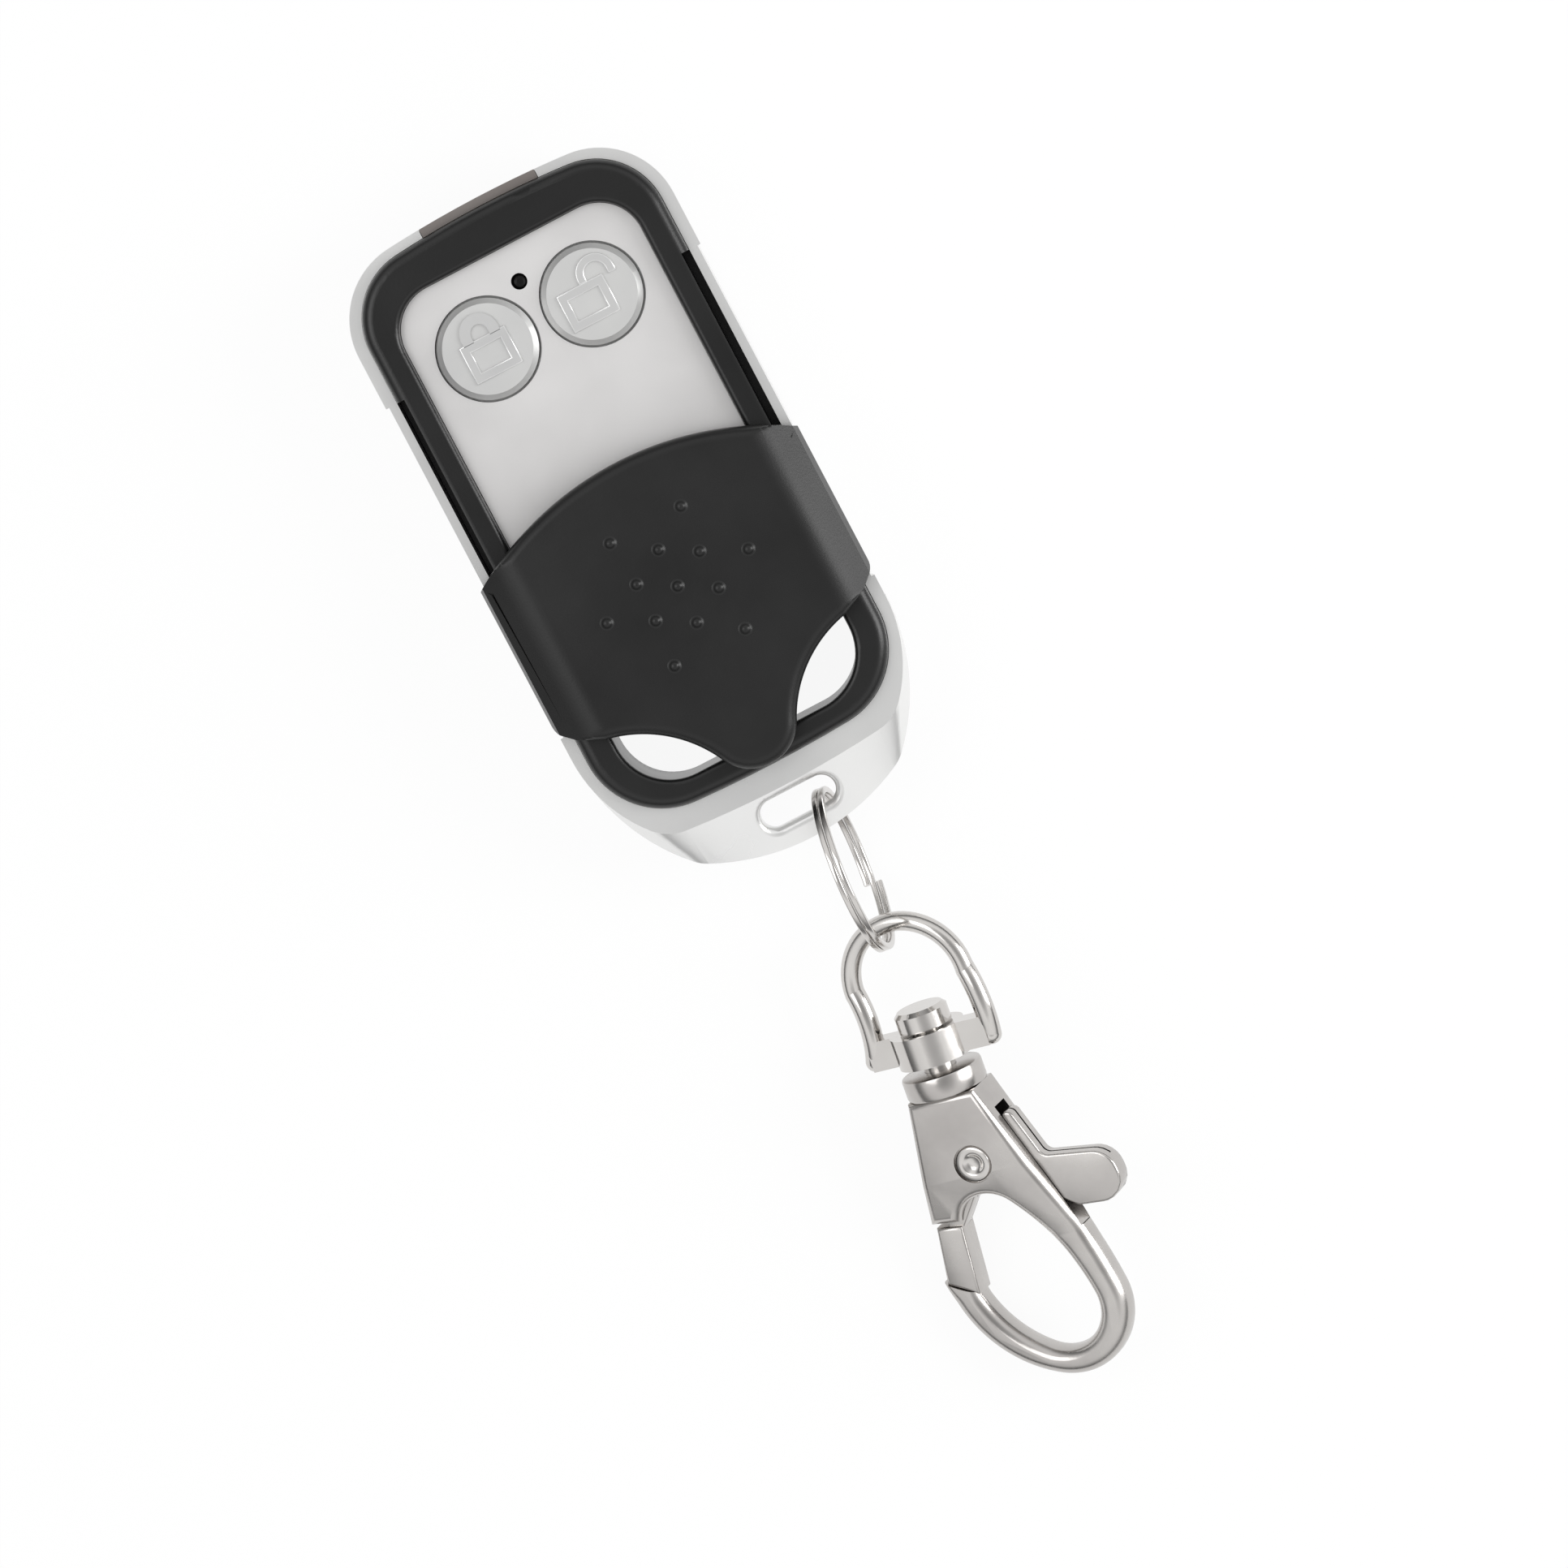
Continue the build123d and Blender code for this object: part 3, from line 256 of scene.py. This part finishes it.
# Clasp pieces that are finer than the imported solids, drawn in millimetres in the clasp's own plane:
# X across to the thumb tab, Y towards the split ring, Z up. Its origin is the top of the shackle

CLASP_ORIGIN = (2.4, -38.8, 7.75)
CLASP_YAW, CLASP_PITCH, CLASP_ROLL = 8.2, 7.0, 25.0


def clasp_plane():
    yaw, pitch, roll = (math.radians(angle) for angle in (CLASP_YAW, CLASP_PITCH, CLASP_ROLL))
    axis = Vector((-math.sin(yaw) * math.cos(pitch), -math.cos(yaw) * math.cos(pitch), -math.sin(pitch)))
    level = Vector((math.cos(yaw), -math.sin(yaw), 0.0))
    level_up = level.cross(-axis)
    across = level * math.cos(roll) + level_up * math.sin(roll)
    up = level_up * math.cos(roll) - level * math.sin(roll)
    turn = Matrix((across, up.cross(across), up)).transposed().to_4x4()
    return Matrix.Translation(Vector(CLASP_ORIGIN) * MM) @ turn @ Matrix.Scale(MM, 4)


CLASP = clasp_plane()
PIVOT = Vector((1.0, -22.5))
BODY_HALF = 2.5
SEAT_FLOOR = 2.0
SEAT_RADIUS = 1.72
THROUGH = 5.0
ARC_STEP = 0.35
ROUND_STEPS = 6
QUARTER_TURN = [math.pi / 2.0 * k / ROUND_STEPS for k in range(ROUND_STEPS + 1)]
SMOOTH_ANGLE = 32.0
SHARPEST_CORNER = 0.35


def arc_to(points, tangent, end):
    """Add an arc that leaves the last point along the tangent, and return its tangent at the end."""
    start = Vector(points[-1])
    tangent = Vector(tangent).normalized()
    left = Vector((-tangent.y, tangent.x))
    reach = Vector(end) - start
    radius = reach.length_squared / (2.0 * reach.dot(left))
    centre = start + left * radius
    first = math.atan2(start.y - centre.y, start.x - centre.x)
    swing = math.atan2(end[1] - centre.y, end[0] - centre.x) - first
    if radius > 0:
        swing %= 2.0 * math.pi
    else:
        swing = -((-swing) % (2.0 * math.pi))
    count = max(3, round(abs(radius * swing) / ARC_STEP))
    for i in range(1, count + 1):
        angle = first + swing * i / count
        points.append((centre.x + abs(radius) * math.cos(angle), centre.y + abs(radius) * math.sin(angle)))
    last = first + swing
    sense = 1.0 if radius > 0 else -1.0
    return (-math.sin(last) * sense, math.cos(last) * sense)


def circle(centre, radius, count=48):
    return [(centre[0] + radius * math.cos(2.0 * math.pi * i / count),
             centre[1] + radius * math.sin(2.0 * math.pi * i / count)) for i in range(count)]


def rounded(points, radii, steps=ROUND_STEPS):
    """Outline with an arc of the given radius at each corner, where it isn't 0."""
    result = []
    for i, (x, y) in enumerate(points):
        corner = Vector((x, y))
        back = (Vector(points[i - 1]) - corner).normalized()
        ahead = (Vector(points[(i + 1) % len(points)]) - corner).normalized()
        if radii[i] == 0:
            result.append((x, y))
            continue
        half = back.angle(ahead) / 2.0
        middle = corner + (back + ahead).normalized() * (radii[i] / math.sin(half))
        first = corner + back * (radii[i] / math.tan(half)) - middle
        last = corner + ahead * (radii[i] / math.tan(half)) - middle
        for k in range(steps + 1):
            place = first.lerp(last, k / steps).normalized() * radii[i]
            result.append((middle.x + place.x, middle.y + place.y))
    return result


def prism(outline, low, high, edge=0.0):
    """Solid between two heights over an outline, its upper and lower edges rounded if an edge is given."""
    work = bmesh.new()
    base = work.faces.new([work.verts.new((x, y, low)) for x, y in outline])
    work.normal_update()
    if base.normal.z > 0:
        base.normal_flip()
    top = bmesh.ops.extrude_face_region(work, geom=[base])
    for item in top["geom"]:
        if isinstance(item, bmesh.types.BMVert):
            item.co.z = high
    bmesh.ops.recalc_face_normals(work, faces=work.faces)
    if edge:
        work.normal_update()
        flat = [e for e in work.edges if abs(e.verts[0].co.z - e.verts[1].co.z) < 1e-6]
        bmesh.ops.bevel(work, geom=flat, offset=edge, segments=3, profile=0.5, affect="EDGES",
                        clamp_overlap=True)
    return work


def as_object(work, name):
    mesh = bpy.data.meshes.new(name)
    work.to_mesh(mesh)
    work.free()
    piece = bpy.data.objects.new(name, mesh)
    bpy.context.scene.collection.objects.link(piece)
    return piece


def combine(piece, others):
    """Join or cut a piece with the others, each given with its operation."""
    for operation, work in others:
        tool = as_object(work, "tool")
        step = piece.modifiers.new(operation, "BOOLEAN")
        step.operation = operation
        step.solver = "EXACT"
        step.object = tool
        result = bpy.data.meshes.new_from_object(piece.evaluated_get(bpy.context.evaluated_depsgraph_get()))
        piece.modifiers.clear()
        old = piece.data
        piece.data = result
        bpy.data.meshes.remove(old)
        bpy.data.objects.remove(tool)


def finish_piece(piece, name, material, body, node, place=CLASP):
    """Bring a piece drawn in millimetres to its place, and let it stand in for its node."""
    piece.data.transform(place)
    piece.name = name
    piece.data.name = name
    for polygon in piece.data.polygons:
        polygon.use_smooth = True
    piece.data.set_sharp_from_angle(angle=math.radians(SMOOTH_ANGLE))
    piece.data.materials.clear()
    piece.data.materials.append(material)
    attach(piece, body)
    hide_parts(node)


def lathe(profile, place, count=64):
    """Closed ring, its profile given as radius and height, turned about the Z axis and then placed."""
    work = bmesh.new()
    rows = []
    for i in range(count):
        angle = 2.0 * math.pi * i / count
        rows.append([work.verts.new(place @ Vector((r * math.cos(angle), r * math.sin(angle), h)))
                     for r, h in profile])
    for i in range(count):
        here, there = rows[i], rows[(i + 1) % count]
        for k in range(len(profile)):
            n = (k + 1) % len(profile)
            work.faces.new((here[k], here[n], there[n], there[k]))
    bmesh.ops.recalc_face_normals(work, faces=work.faces)
    return work


def skin(work, loops):
    """Faces between each loop and the next, and over the first and the last."""
    for low, high in zip(loops, loops[1:]):
        for i in range(len(low)):
            n = (i + 1) % len(low)
            work.faces.new((low[i], low[n], high[n], high[i]))
    work.faces.new(loops[0])
    work.faces.new(loops[-1])


def cut_along(work, point, normal):
    """New edges where a plane crosses the faces, with nothing taken away."""
    bmesh.ops.bisect_plane(work, geom=work.verts[:] + work.edges[:] + work.faces[:], plane_co=point,
                           plane_no=normal)


def down_axis(distance):
    """Place whose Z runs down the clasp from a distance below the top of the shackle."""
    return Matrix.Translation((0.0, -distance, 0.0)) @ Matrix.Rotation(math.radians(90.0), 4, "X")


def offset_outline(points, widths):
    """Outline moved inwards at each point by its width, for an outline that runs clockwise."""
    moved = []
    for i, point in enumerate(points):
        here = Vector(point)
        back = (here - Vector(points[i - 1])).normalized()
        ahead = (Vector(points[(i + 1) % len(points)]) - here).normalized()
        inwards = Vector((back.y + ahead.y, -back.x - ahead.x)).normalized()
        spread_out = max(inwards.dot(Vector((back.y, -back.x))), SHARPEST_CORNER)
        moved.append(here + inwards * (widths[i] / spread_out))
    return moved


def share_between(y, start, end):
    """How far y has come from the start to the end, from 0 to 1."""
    return min(max((y - start) / (end - start), 0.0), 1.0)


# Hook casting: flat cheeks above, and below them a round wire that tapers to the tip

WIRE_START, WIRE_END = -24.0, -32.0
TIP_LIMIT, TIP_START, TIP_END = -31.0, -31.5, -34.5
TIP_SHARE = 0.15
CHEEK_EDGE = 0.6
WIRE_EXTRA_WIDTH, WIRE_EXTRA_DEPTH = 0.42, 1.5
THINNER_START, THINNER_END = -23.5, -30.5
THINNER_BY = 0.4
LEVER_SLOT = [(-2.2, -18.4), (9.0, -18.4), (14.0, -30.2), (8.0, -30.2), (2.6, -25.6), (1.9, -25.35),
              (0.9, -27.2), (0.5, -29.0), (-4.7, -29.0), (-4.25, -27.3)]
LEVER_SLOT_HALF = 1.1
ROOM_LEFT, ROOM_RIGHT, ROOM_TOP = -6.3, -0.7, -27.5
GATE_SWEEP, SWEEP_POINTS = 12.2, 240
RIVET_BORE = 1.0
COLLAR_TOP = 14.2
COLLAR_PROFILE = [(1.43, 0.0), (3.3, 0.0), (3.48, 0.07), (3.55, 0.25), (3.55, 1.7), (3.48, 1.9), (3.3, 2.0),
                  (1.43, 2.0)]


def hook_outline():
    points = [(3.3, -16.2), (7.8, -29.0)]
    tangent = arc_to(points, (4.5, -12.8), (9.6, -36.0))
    tangent = arc_to(points, tangent, (1.5, -42.7))
    arc_to(points, tangent, (-6.1, -31.5))
    points.append((-3.5, -31.5))
    tangent = arc_to(points, (0.0, -1.0), (1.3, -40.1))
    tangent = arc_to(points, tangent, (6.9, -36.2))
    tangent = arc_to(points, tangent, (2.6, -26.6))
    arc_to(points, tangent, (-2.4, -27.5))
    points += [(-5.2, -27.2), (-3.1, -16.2)]
    return points


def gate_room():
    """Outline of the room that the gate swings in, its lower side an arc about the pivot."""
    def on_sweep(x):
        return (x, PIVOT.y - math.sqrt(GATE_SWEEP ** 2 - (PIVOT.x - x) ** 2))

    sweep = [p for p in circle(PIVOT, GATE_SWEEP, SWEEP_POINTS)
             if ROOM_LEFT < p[0] < ROOM_RIGHT and p[1] < ROOM_TOP]
    sweep.sort(key=lambda p: -p[0])
    return [(ROOM_LEFT, ROOM_TOP), (ROOM_RIGHT, ROOM_TOP), on_sweep(ROOM_RIGHT)] + sweep + [on_sweep(ROOM_LEFT)]


def add_hook():
    outline = hook_outline()
    shares = [share_between(y, WIRE_START, WIRE_END) for x, y in outline]
    tips = [TIP_SHARE + (1.0 - TIP_SHARE) * share_between(y, TIP_START, TIP_END)
            if x < 0.0 and y < TIP_LIMIT else 1.0 for x, y in outline]
    widths = [(CHEEK_EDGE + WIRE_EXTRA_WIDTH * share) * tip for share, tip in zip(shares, tips)]
    depths = [CHEEK_EDGE + WIRE_EXTRA_DEPTH * share * tip for share, tip in zip(shares, tips)]
    work = bmesh.new()
    loops = []
    for side in (-1, 1):
        for angle in QUARTER_TURN[::side]:
            ring = offset_outline(outline, [width * (1.0 - math.cos(angle)) for width in widths])
            loops.append([work.verts.new((x, y, side * (BODY_HALF - depth * (1.0 - math.sin(angle)))))
                          for (x, y), depth in zip(ring, depths)])
    skin(work, loops)
    for line in (THINNER_START, THINNER_END):
        cut_along(work, (0, line, 0), (0, 1, 0))
    for vert in work.verts:
        vert.co.z *= 1.0 - THINNER_BY * share_between(vert.co.y, THINNER_START, THINNER_END)
    bmesh.ops.recalc_face_normals(work, faces=work.faces)
    piece = as_object(work, "hook")
    combine(piece, [
        ("DIFFERENCE", prism(LEVER_SLOT, -LEVER_SLOT_HALF, LEVER_SLOT_HALF)),
        ("DIFFERENCE", prism(gate_room(), -THROUGH, THROUGH)),
        ("UNION", lathe(COLLAR_PROFILE, down_axis(COLLAR_TOP))),
        ("DIFFERENCE", prism(circle(PIVOT, RIVET_BORE), -THROUGH, THROUGH)),
        ("DIFFERENCE", prism(circle(PIVOT, SEAT_RADIUS), SEAT_FLOOR, THROUGH)),
        ("DIFFERENCE", prism(circle(PIVOT, SEAT_RADIUS), -THROUGH, -SEAT_FLOOR)),
    ])
    finish_piece(piece, "hook_casting", cast_nickel, "hook", "hook_body")


# Lever: gate and thumb tab in one piece, with the slit of its folded sheet

LEVER_SIDE = [(5.0, -18.6), (6.75, -23.5), (12.7, -24.3), (13.2, -28.9), (8.4, -28.5), (2.4, -24.4),
              (0.2, -24.7), (-2.7, -28.3), (-2.8, -29.5), (-4.3, -29.5), (-3.95, -27.2), (-1.2, -21.6),
              (3.0, -20.5)]
LEVER_RADII = [0.6, 0.8, 2.1, 2.1, 1.2, 0, 0, 0.5, 0, 0, 0, 0, 0.5]
LEVER_HALF, LEVER_EDGE = 1.0, 0.22
EYE_RADIUS, EYE_HALF = 2.4, 0.999
LEVER_BORE = 1.02
GATE_SIDE = [(-4.95, -27.6), (-2.55, -27.9), (-3.1, -34.1), (-5.75, -32.7)]
GATE_HALF, GATE_EDGE = 1.4, 0.3
SLIT_SIDE = [(-0.9, -20.0), (3.0, -19.6), (4.4, -17.5), (6.0, -17.5), (7.6, -23.2), (12.2, -24.0),
             (12.9, -26.9), (11.5, -28.3), (8.3, -27.6), (3.0, -23.9), (2.4, -26.0), (-0.9, -26.0)]
SLIT_HALF = 0.12


def add_lever():
    piece = as_object(prism(rounded(LEVER_SIDE, LEVER_RADII), -LEVER_HALF, LEVER_HALF, LEVER_EDGE), "lever")
    combine(piece, [
        ("UNION", prism(circle(PIVOT, EYE_RADIUS), -EYE_HALF, EYE_HALF)),
        ("UNION", prism(GATE_SIDE, -GATE_HALF, GATE_HALF, GATE_EDGE)),
        ("DIFFERENCE", prism(SLIT_SIDE, -SLIT_HALF, SLIT_HALF)),
        ("DIFFERENCE", prism(circle(PIVOT, LEVER_BORE), -THROUGH, THROUGH)),
    ])
    finish_piece(piece, "thumb_lever", cast_nickel, "gate", "gate_lever")


# Rivet: radius and height of its head, from the dimple's middle out to the shank

RIVET_AXIS = 0.002
RIVET_HEAD = [(RIVET_AXIS, 2.12), (0.45, 2.14), (0.7, 2.25), (0.86, 2.42), (1.02, 2.5), (1.28, 2.5),
              (1.48, 2.44), (1.6, 2.3), (1.6, SEAT_FLOOR), (0.95, SEAT_FLOOR)]


def add_rivet():
    profile = RIVET_HEAD + [(radius, -height) for radius, height in RIVET_HEAD[::-1]]
    piece = as_object(lathe(profile, Matrix.Translation((PIVOT.x, PIVOT.y, 0.0))), "rivet")
    finish_piece(piece, "pivot_rivet", nickel, "hook", "gate_rivet")


# Split ring: two turns of a flat strip with rounded edges, each end cut square

RING_CENTRE = (1.7, -34.25, 7.97)
RING_YAW, RING_LEAN, RING_START = 5.6, 8.0, 71.0
RING_RADIUS = 7.15
STRIP_HALF_WIDTH, STRIP_HALF_DEPTH, STRIP_EDGE, STRIP_STEPS = 0.3, 0.24, 0.12, 3
RING_RISE = 0.56
RING_STEPS = 192


def ring_place():
    yaw, lean, start = (math.radians(angle) for angle in (RING_YAW, RING_LEAN, RING_START))
    along = Vector((-math.sin(yaw), -math.cos(yaw), 0.0))
    up = Vector((-math.sin(lean), 0.0, math.cos(lean)))
    normal = along.cross(up).normalized()
    first = (along * math.cos(start) - up * math.sin(start)).normalized()
    turn = Matrix((first, normal.cross(first), normal)).transposed().to_4x4()
    return Matrix.Translation(Vector(RING_CENTRE) * MM) @ turn @ Matrix.Scale(MM, 4)


def add_ring():
    section = rounded(rectangle(-STRIP_HALF_WIDTH, -STRIP_HALF_DEPTH, STRIP_HALF_WIDTH, STRIP_HALF_DEPTH),
                      [STRIP_EDGE] * 4, STRIP_STEPS)
    work = bmesh.new()
    loops = []
    for i in range(RING_STEPS + 1):
        angle = 4.0 * math.pi * i / RING_STEPS
        rise = RING_RISE * (2.0 * i / RING_STEPS - 1.0)
        loops.append([work.verts.new(((RING_RADIUS + x) * math.cos(angle), (RING_RADIUS + x) * math.sin(angle),
                                      rise + y)) for x, y in section])
    skin(work, loops)
    bmesh.ops.recalc_face_normals(work, faces=work.faces)
    finish_piece(as_object(work, "ring"), "key_ring", nickel, "ring", "split_ring", ring_place())


# Sliding cover with a soft rim, sloping sides and domed grip dots, drawn in millimetres on the fob

COVER_HALF = 15.07
COVER_APEX, COVER_SIDE_TOP, COVER_SIDE_LOW, COVER_TONGUE = 5.5, 1.1, -12.3, -22.9
COVER_CORNER = 1.4
COVER_UNDER, COVER_TOP = 10.9, 13.1
RIM_ROUNDING, RIM_START = 1.0, 12.1
WALL_INNER, WALL_FOOT = 1.3, 1.28
SKIRT_FROM, SKIRT_LOW = 14.6, 9.6
SKIRT_ENDS = (-11.7, 0.0)
CREASE, CREASE_BLEND = 11.97, 1.15
SLOPE_RUN, SLOPE_DROP, SLOPE_FOOT = 2.75, 1.8, 11.3
EDGE_RUN, EDGE_DROP = 0.35, 1.6
CUT_LINES = (10.82, 11.1, 11.4, 11.7, 11.97, 12.25, 12.55, 12.85, 13.12, 14.72)
LEG_SECTION = [(13.25, 10.9), (13.25, 6.4), (12.65, 6.4), (12.65, 5.5), (13.8, 5.5), (13.8, 10.9)]
LEG_ENDS = (-11.6, 0.0)
DOT_CENTRE, DOT_INNER, DOT_OUTER, DOT_SIDES = -6.07, 3.45, 6.7, 20
DOT_PROFILE = [(0.62, 0.0), (0.50, 0.04), (0.40, 0.12), (0.30, 0.22), (0.18, 0.28), (0.002, 0.30),
               (0.002, -0.3), (0.62, -0.3)]


def arc_start(a, b, c):
    """Tangent at the first of three points on an arc."""
    a, b, c = Vector(a), Vector(b), Vector(c)
    turn = 2.0 * ((b - a).x * (c - a).y - (b - a).y * (c - a).x)
    bb, cc = (b - a).length_squared, (c - a).length_squared
    centre = Vector((((c - a).y * bb - (b - a).y * cc) / turn, ((b - a).x * cc - (c - a).x * bb) / turn))
    tangent = Vector((centre.y, -centre.x))
    return tangent if tangent.dot(b - a) > 0 else -tangent


def cover_outline():
    """Right half from the top's middle down to the tongue, then the left half back up."""
    half = [(0.0, COVER_APEX)]
    arc_to(half, (1.0, 0.0), (COVER_HALF, COVER_SIDE_TOP))
    low_corner = len(half)
    half += [(COVER_HALF, COVER_SIDE_LOW), (13.6, -13.6), (11.4, -14.7)]
    sag = arc_start((11.4, -14.7), (6.9, -16.7), (3.5, -20.8))
    tangent = arc_to(half, sag, (3.5, -20.8))
    arc_to(half, tangent, (0.0, COVER_TONGUE))
    half = rounded(half, [COVER_CORNER if i == low_corner else 0.0 for i in range(len(half))])
    return half + [(-x, y) for x, y in half[-2:0:-1]]


def cover_height(x):
    """Upper limit of the cover over its width: flat, then a rounded crease, a straight slope and the edge."""
    reach = abs(x) - CREASE
    slope = SLOPE_DROP / SLOPE_RUN
    if reach < -CREASE_BLEND:
        return COVER_TOP
    if reach < CREASE_BLEND:
        return COVER_TOP - slope * (reach + CREASE_BLEND) ** 2 / (4.0 * CREASE_BLEND)
    if reach < SLOPE_RUN:
        return COVER_TOP - slope * reach
    return SLOPE_FOOT - (reach - SLOPE_RUN) / EDGE_RUN * EDGE_DROP


def cover_shell():
    """Plate with its underside, skirt and rounded rim, bent down over the sides, and its two hooked legs."""
    outline = cover_outline()
    low = [SKIRT_LOW if abs(x) > SKIRT_FROM and SKIRT_ENDS[0] < y < SKIRT_ENDS[1] else COVER_UNDER
           for x, y in outline]
    work = bmesh.new()

    def loop(width, heights):
        ring = offset_outline(outline, [width] * len(outline))
        return [work.verts.new((x, y, z)) for (x, y), z in zip(ring, heights)]

    loops = [loop(WALL_INNER, [COVER_UNDER] * len(outline)), loop(WALL_FOOT, low), loop(0.0, low)]
    loops += [loop(RIM_ROUNDING - math.cos(angle), [RIM_START + math.sin(angle)] * len(outline))
              for angle in QUARTER_TURN]
    skin(work, loops)
    for side in (-1, 1):
        for line in CUT_LINES:
            cut_along(work, (side * line, 0, 0), (1, 0, 0))
    for vert in work.verts:
        vert.co.z = min(vert.co.z, cover_height(vert.co.x))
    for side in (-1, 1):
        skin(work, [[work.verts.new((side * x, y, z)) for x, z in LEG_SECTION] for y in LEG_ENDS])
    bmesh.ops.recalc_face_normals(work, faces=work.faces)
    return work


def dot_places():
    """Middle dot, then pairs on an inner and an outer ring."""
    places = [(0.0, DOT_CENTRE)]
    for step in range(6):
        for reach, turn in ((DOT_INNER, 60 * step + 30), (DOT_OUTER, 60 * step)):
            angle = math.radians(turn)
            places.append((reach * math.cos(angle), DOT_CENTRE + reach * math.sin(angle)))
    return places


def add_cover():
    piece = as_object(cover_shell(), "cover")
    whole = bmesh.new()
    whole.from_mesh(piece.data)
    for x, y in dot_places():
        dot = lathe(DOT_PROFILE, Matrix.Translation((x, y, COVER_TOP)), DOT_SIDES)
        mesh = bpy.data.meshes.new("dot")
        dot.to_mesh(mesh)
        dot.free()
        whole.from_mesh(mesh)
        bpy.data.meshes.remove(mesh)
    whole.to_mesh(piece.data)
    whole.free()
    finish_piece(piece, "cover_shell", cover_plastic, "cover", "slide_cover",
                 Matrix.Scale(MM, 4))


add_hook()
add_lever()
add_rivet()
add_ring()
add_cover()


# Floor, lamps and world

FLOOR_HALF, FLOOR_DROP = 3.0, 0.0001
FLOOR_GREY, FLOOR_ROUGHNESS = 0.86, 0.9
FLOOR_GLOW_SHARE = 0.92
LAMP_AIM = (0.0, -0.025, 0.005)
WORLD_LEVELS = ((0.0, 0.10), (0.25, 0.30), (0.5, 0.95), (0.8, 1.05), (0.93, 0.60), (1.0, 0.42))


def grey(level):
    return (level, level, level, 1.0)


def calculated(tree, operation, first, second, clamp=False):
    """Output of a math node, each input a socket or a number."""
    node = tree.nodes.new("ShaderNodeMath")
    node.operation = operation
    node.use_clamp = clamp
    for socket, value in zip(node.inputs, (first, second)):
        if isinstance(value, float):
            socket.default_value = value
        else:
            tree.links.new(value, socket)
    return node.outputs[0]


def add_floor():
    """Pale floor that looks nearly white to the camera and to reflections, and takes soft shadows."""
    mesh = bpy.data.meshes.new("floor")
    corners = [(x, y, 0) for x, y in rectangle(-FLOOR_HALF, -FLOOR_HALF, FLOOR_HALF, FLOOR_HALF)]
    mesh.from_pydata(corners, [], [(0, 1, 2, 3)])
    floor = bpy.data.objects.new("floor", mesh)
    floor.location = (0.0, 0.0, -FLOOR_DROP)
    bpy.context.scene.collection.objects.link(floor)
    material, tree, shader = new_material("floor_white")
    shader.inputs["Base Color"].default_value = grey(FLOOR_GREY)
    shader.inputs["Roughness"].default_value = FLOOR_ROUGHNESS
    shader.inputs["Specular IOR Level"].default_value = 0.0
    glow = tree.nodes.new("ShaderNodeEmission")
    glow.inputs["Color"].default_value = grey(1.0)
    glow.inputs["Strength"].default_value = 1.0
    path = tree.nodes.new("ShaderNodeLightPath")
    seen = calculated(tree, "ADD", path.outputs["Is Camera Ray"], path.outputs["Is Glossy Ray"])
    seen = calculated(tree, "ADD", seen, path.outputs["Is Transmission Ray"], clamp=True)
    mix = tree.nodes.new("ShaderNodeMixShader")
    tree.links.new(calculated(tree, "MULTIPLY", seen, FLOOR_GLOW_SHARE), mix.inputs[0])
    tree.links.new(shader.outputs[0], mix.inputs[1])
    tree.links.new(glow.outputs[0], mix.inputs[2])
    tree.links.new(mix.outputs[0], tree.nodes["Material Output"].inputs["Surface"])
    mesh.materials.append(material)


def add_lamp(name, place, size, power):
    data = bpy.data.lights.new(name, "AREA")
    data.shape = "RECTANGLE"
    data.size, data.size_y = size
    data.energy = power
    lamp = bpy.data.objects.new(name, data)
    lamp.location = place
    lamp.rotation_euler = (Vector(LAMP_AIM) - Vector(place)).to_track_quat("-Z", "Y").to_euler()
    bpy.context.scene.collection.objects.link(lamp)


def set_world():
    """White to the camera; to everything else a studio that is brightest at mid-height and darker overhead."""
    world = bpy.data.worlds.new("studio")
    bpy.context.scene.world = world
    world.use_nodes = True
    tree = world.node_tree
    background = tree.nodes["Background"]
    place = tree.nodes.new("ShaderNodeTexCoord")
    parts = tree.nodes.new("ShaderNodeSeparateXYZ")
    tree.links.new(place.outputs["Generated"], parts.inputs[0])
    ramp = tree.nodes.new("ShaderNodeValToRGB")
    stops = ramp.color_ramp.elements
    lowest, *between, highest = WORLD_LEVELS
    for stop, (height, level) in zip(stops, (lowest, highest)):
        stop.position = height
        stop.color = grey(level)
    for height, level in between:
        stops.new(height).color = grey(level)
    tree.links.new(parts.outputs["Z"], ramp.inputs[0])
    path = tree.nodes.new("ShaderNodeLightPath")
    mix = tree.nodes.new("ShaderNodeMix")
    mix.data_type = "RGBA"
    mix.inputs["B"].default_value = grey(1.0)
    tree.links.new(path.outputs["Is Camera Ray"], mix.inputs["Factor"])
    tree.links.new(ramp.outputs["Color"], mix.inputs["A"])
    tree.links.new(mix.outputs["Result"], background.inputs["Color"])
    background.inputs["Strength"].default_value = 1.0


add_floor()
add_lamp("key", (-0.45, 0.25, 0.75), (0.5, 0.5), 1.5)
add_lamp("side", (0.65, -0.15, 0.35), (0.35, 0.5), 3.4)
set_world()
bpy.context.scene.view_settings.view_transform = "Standard"
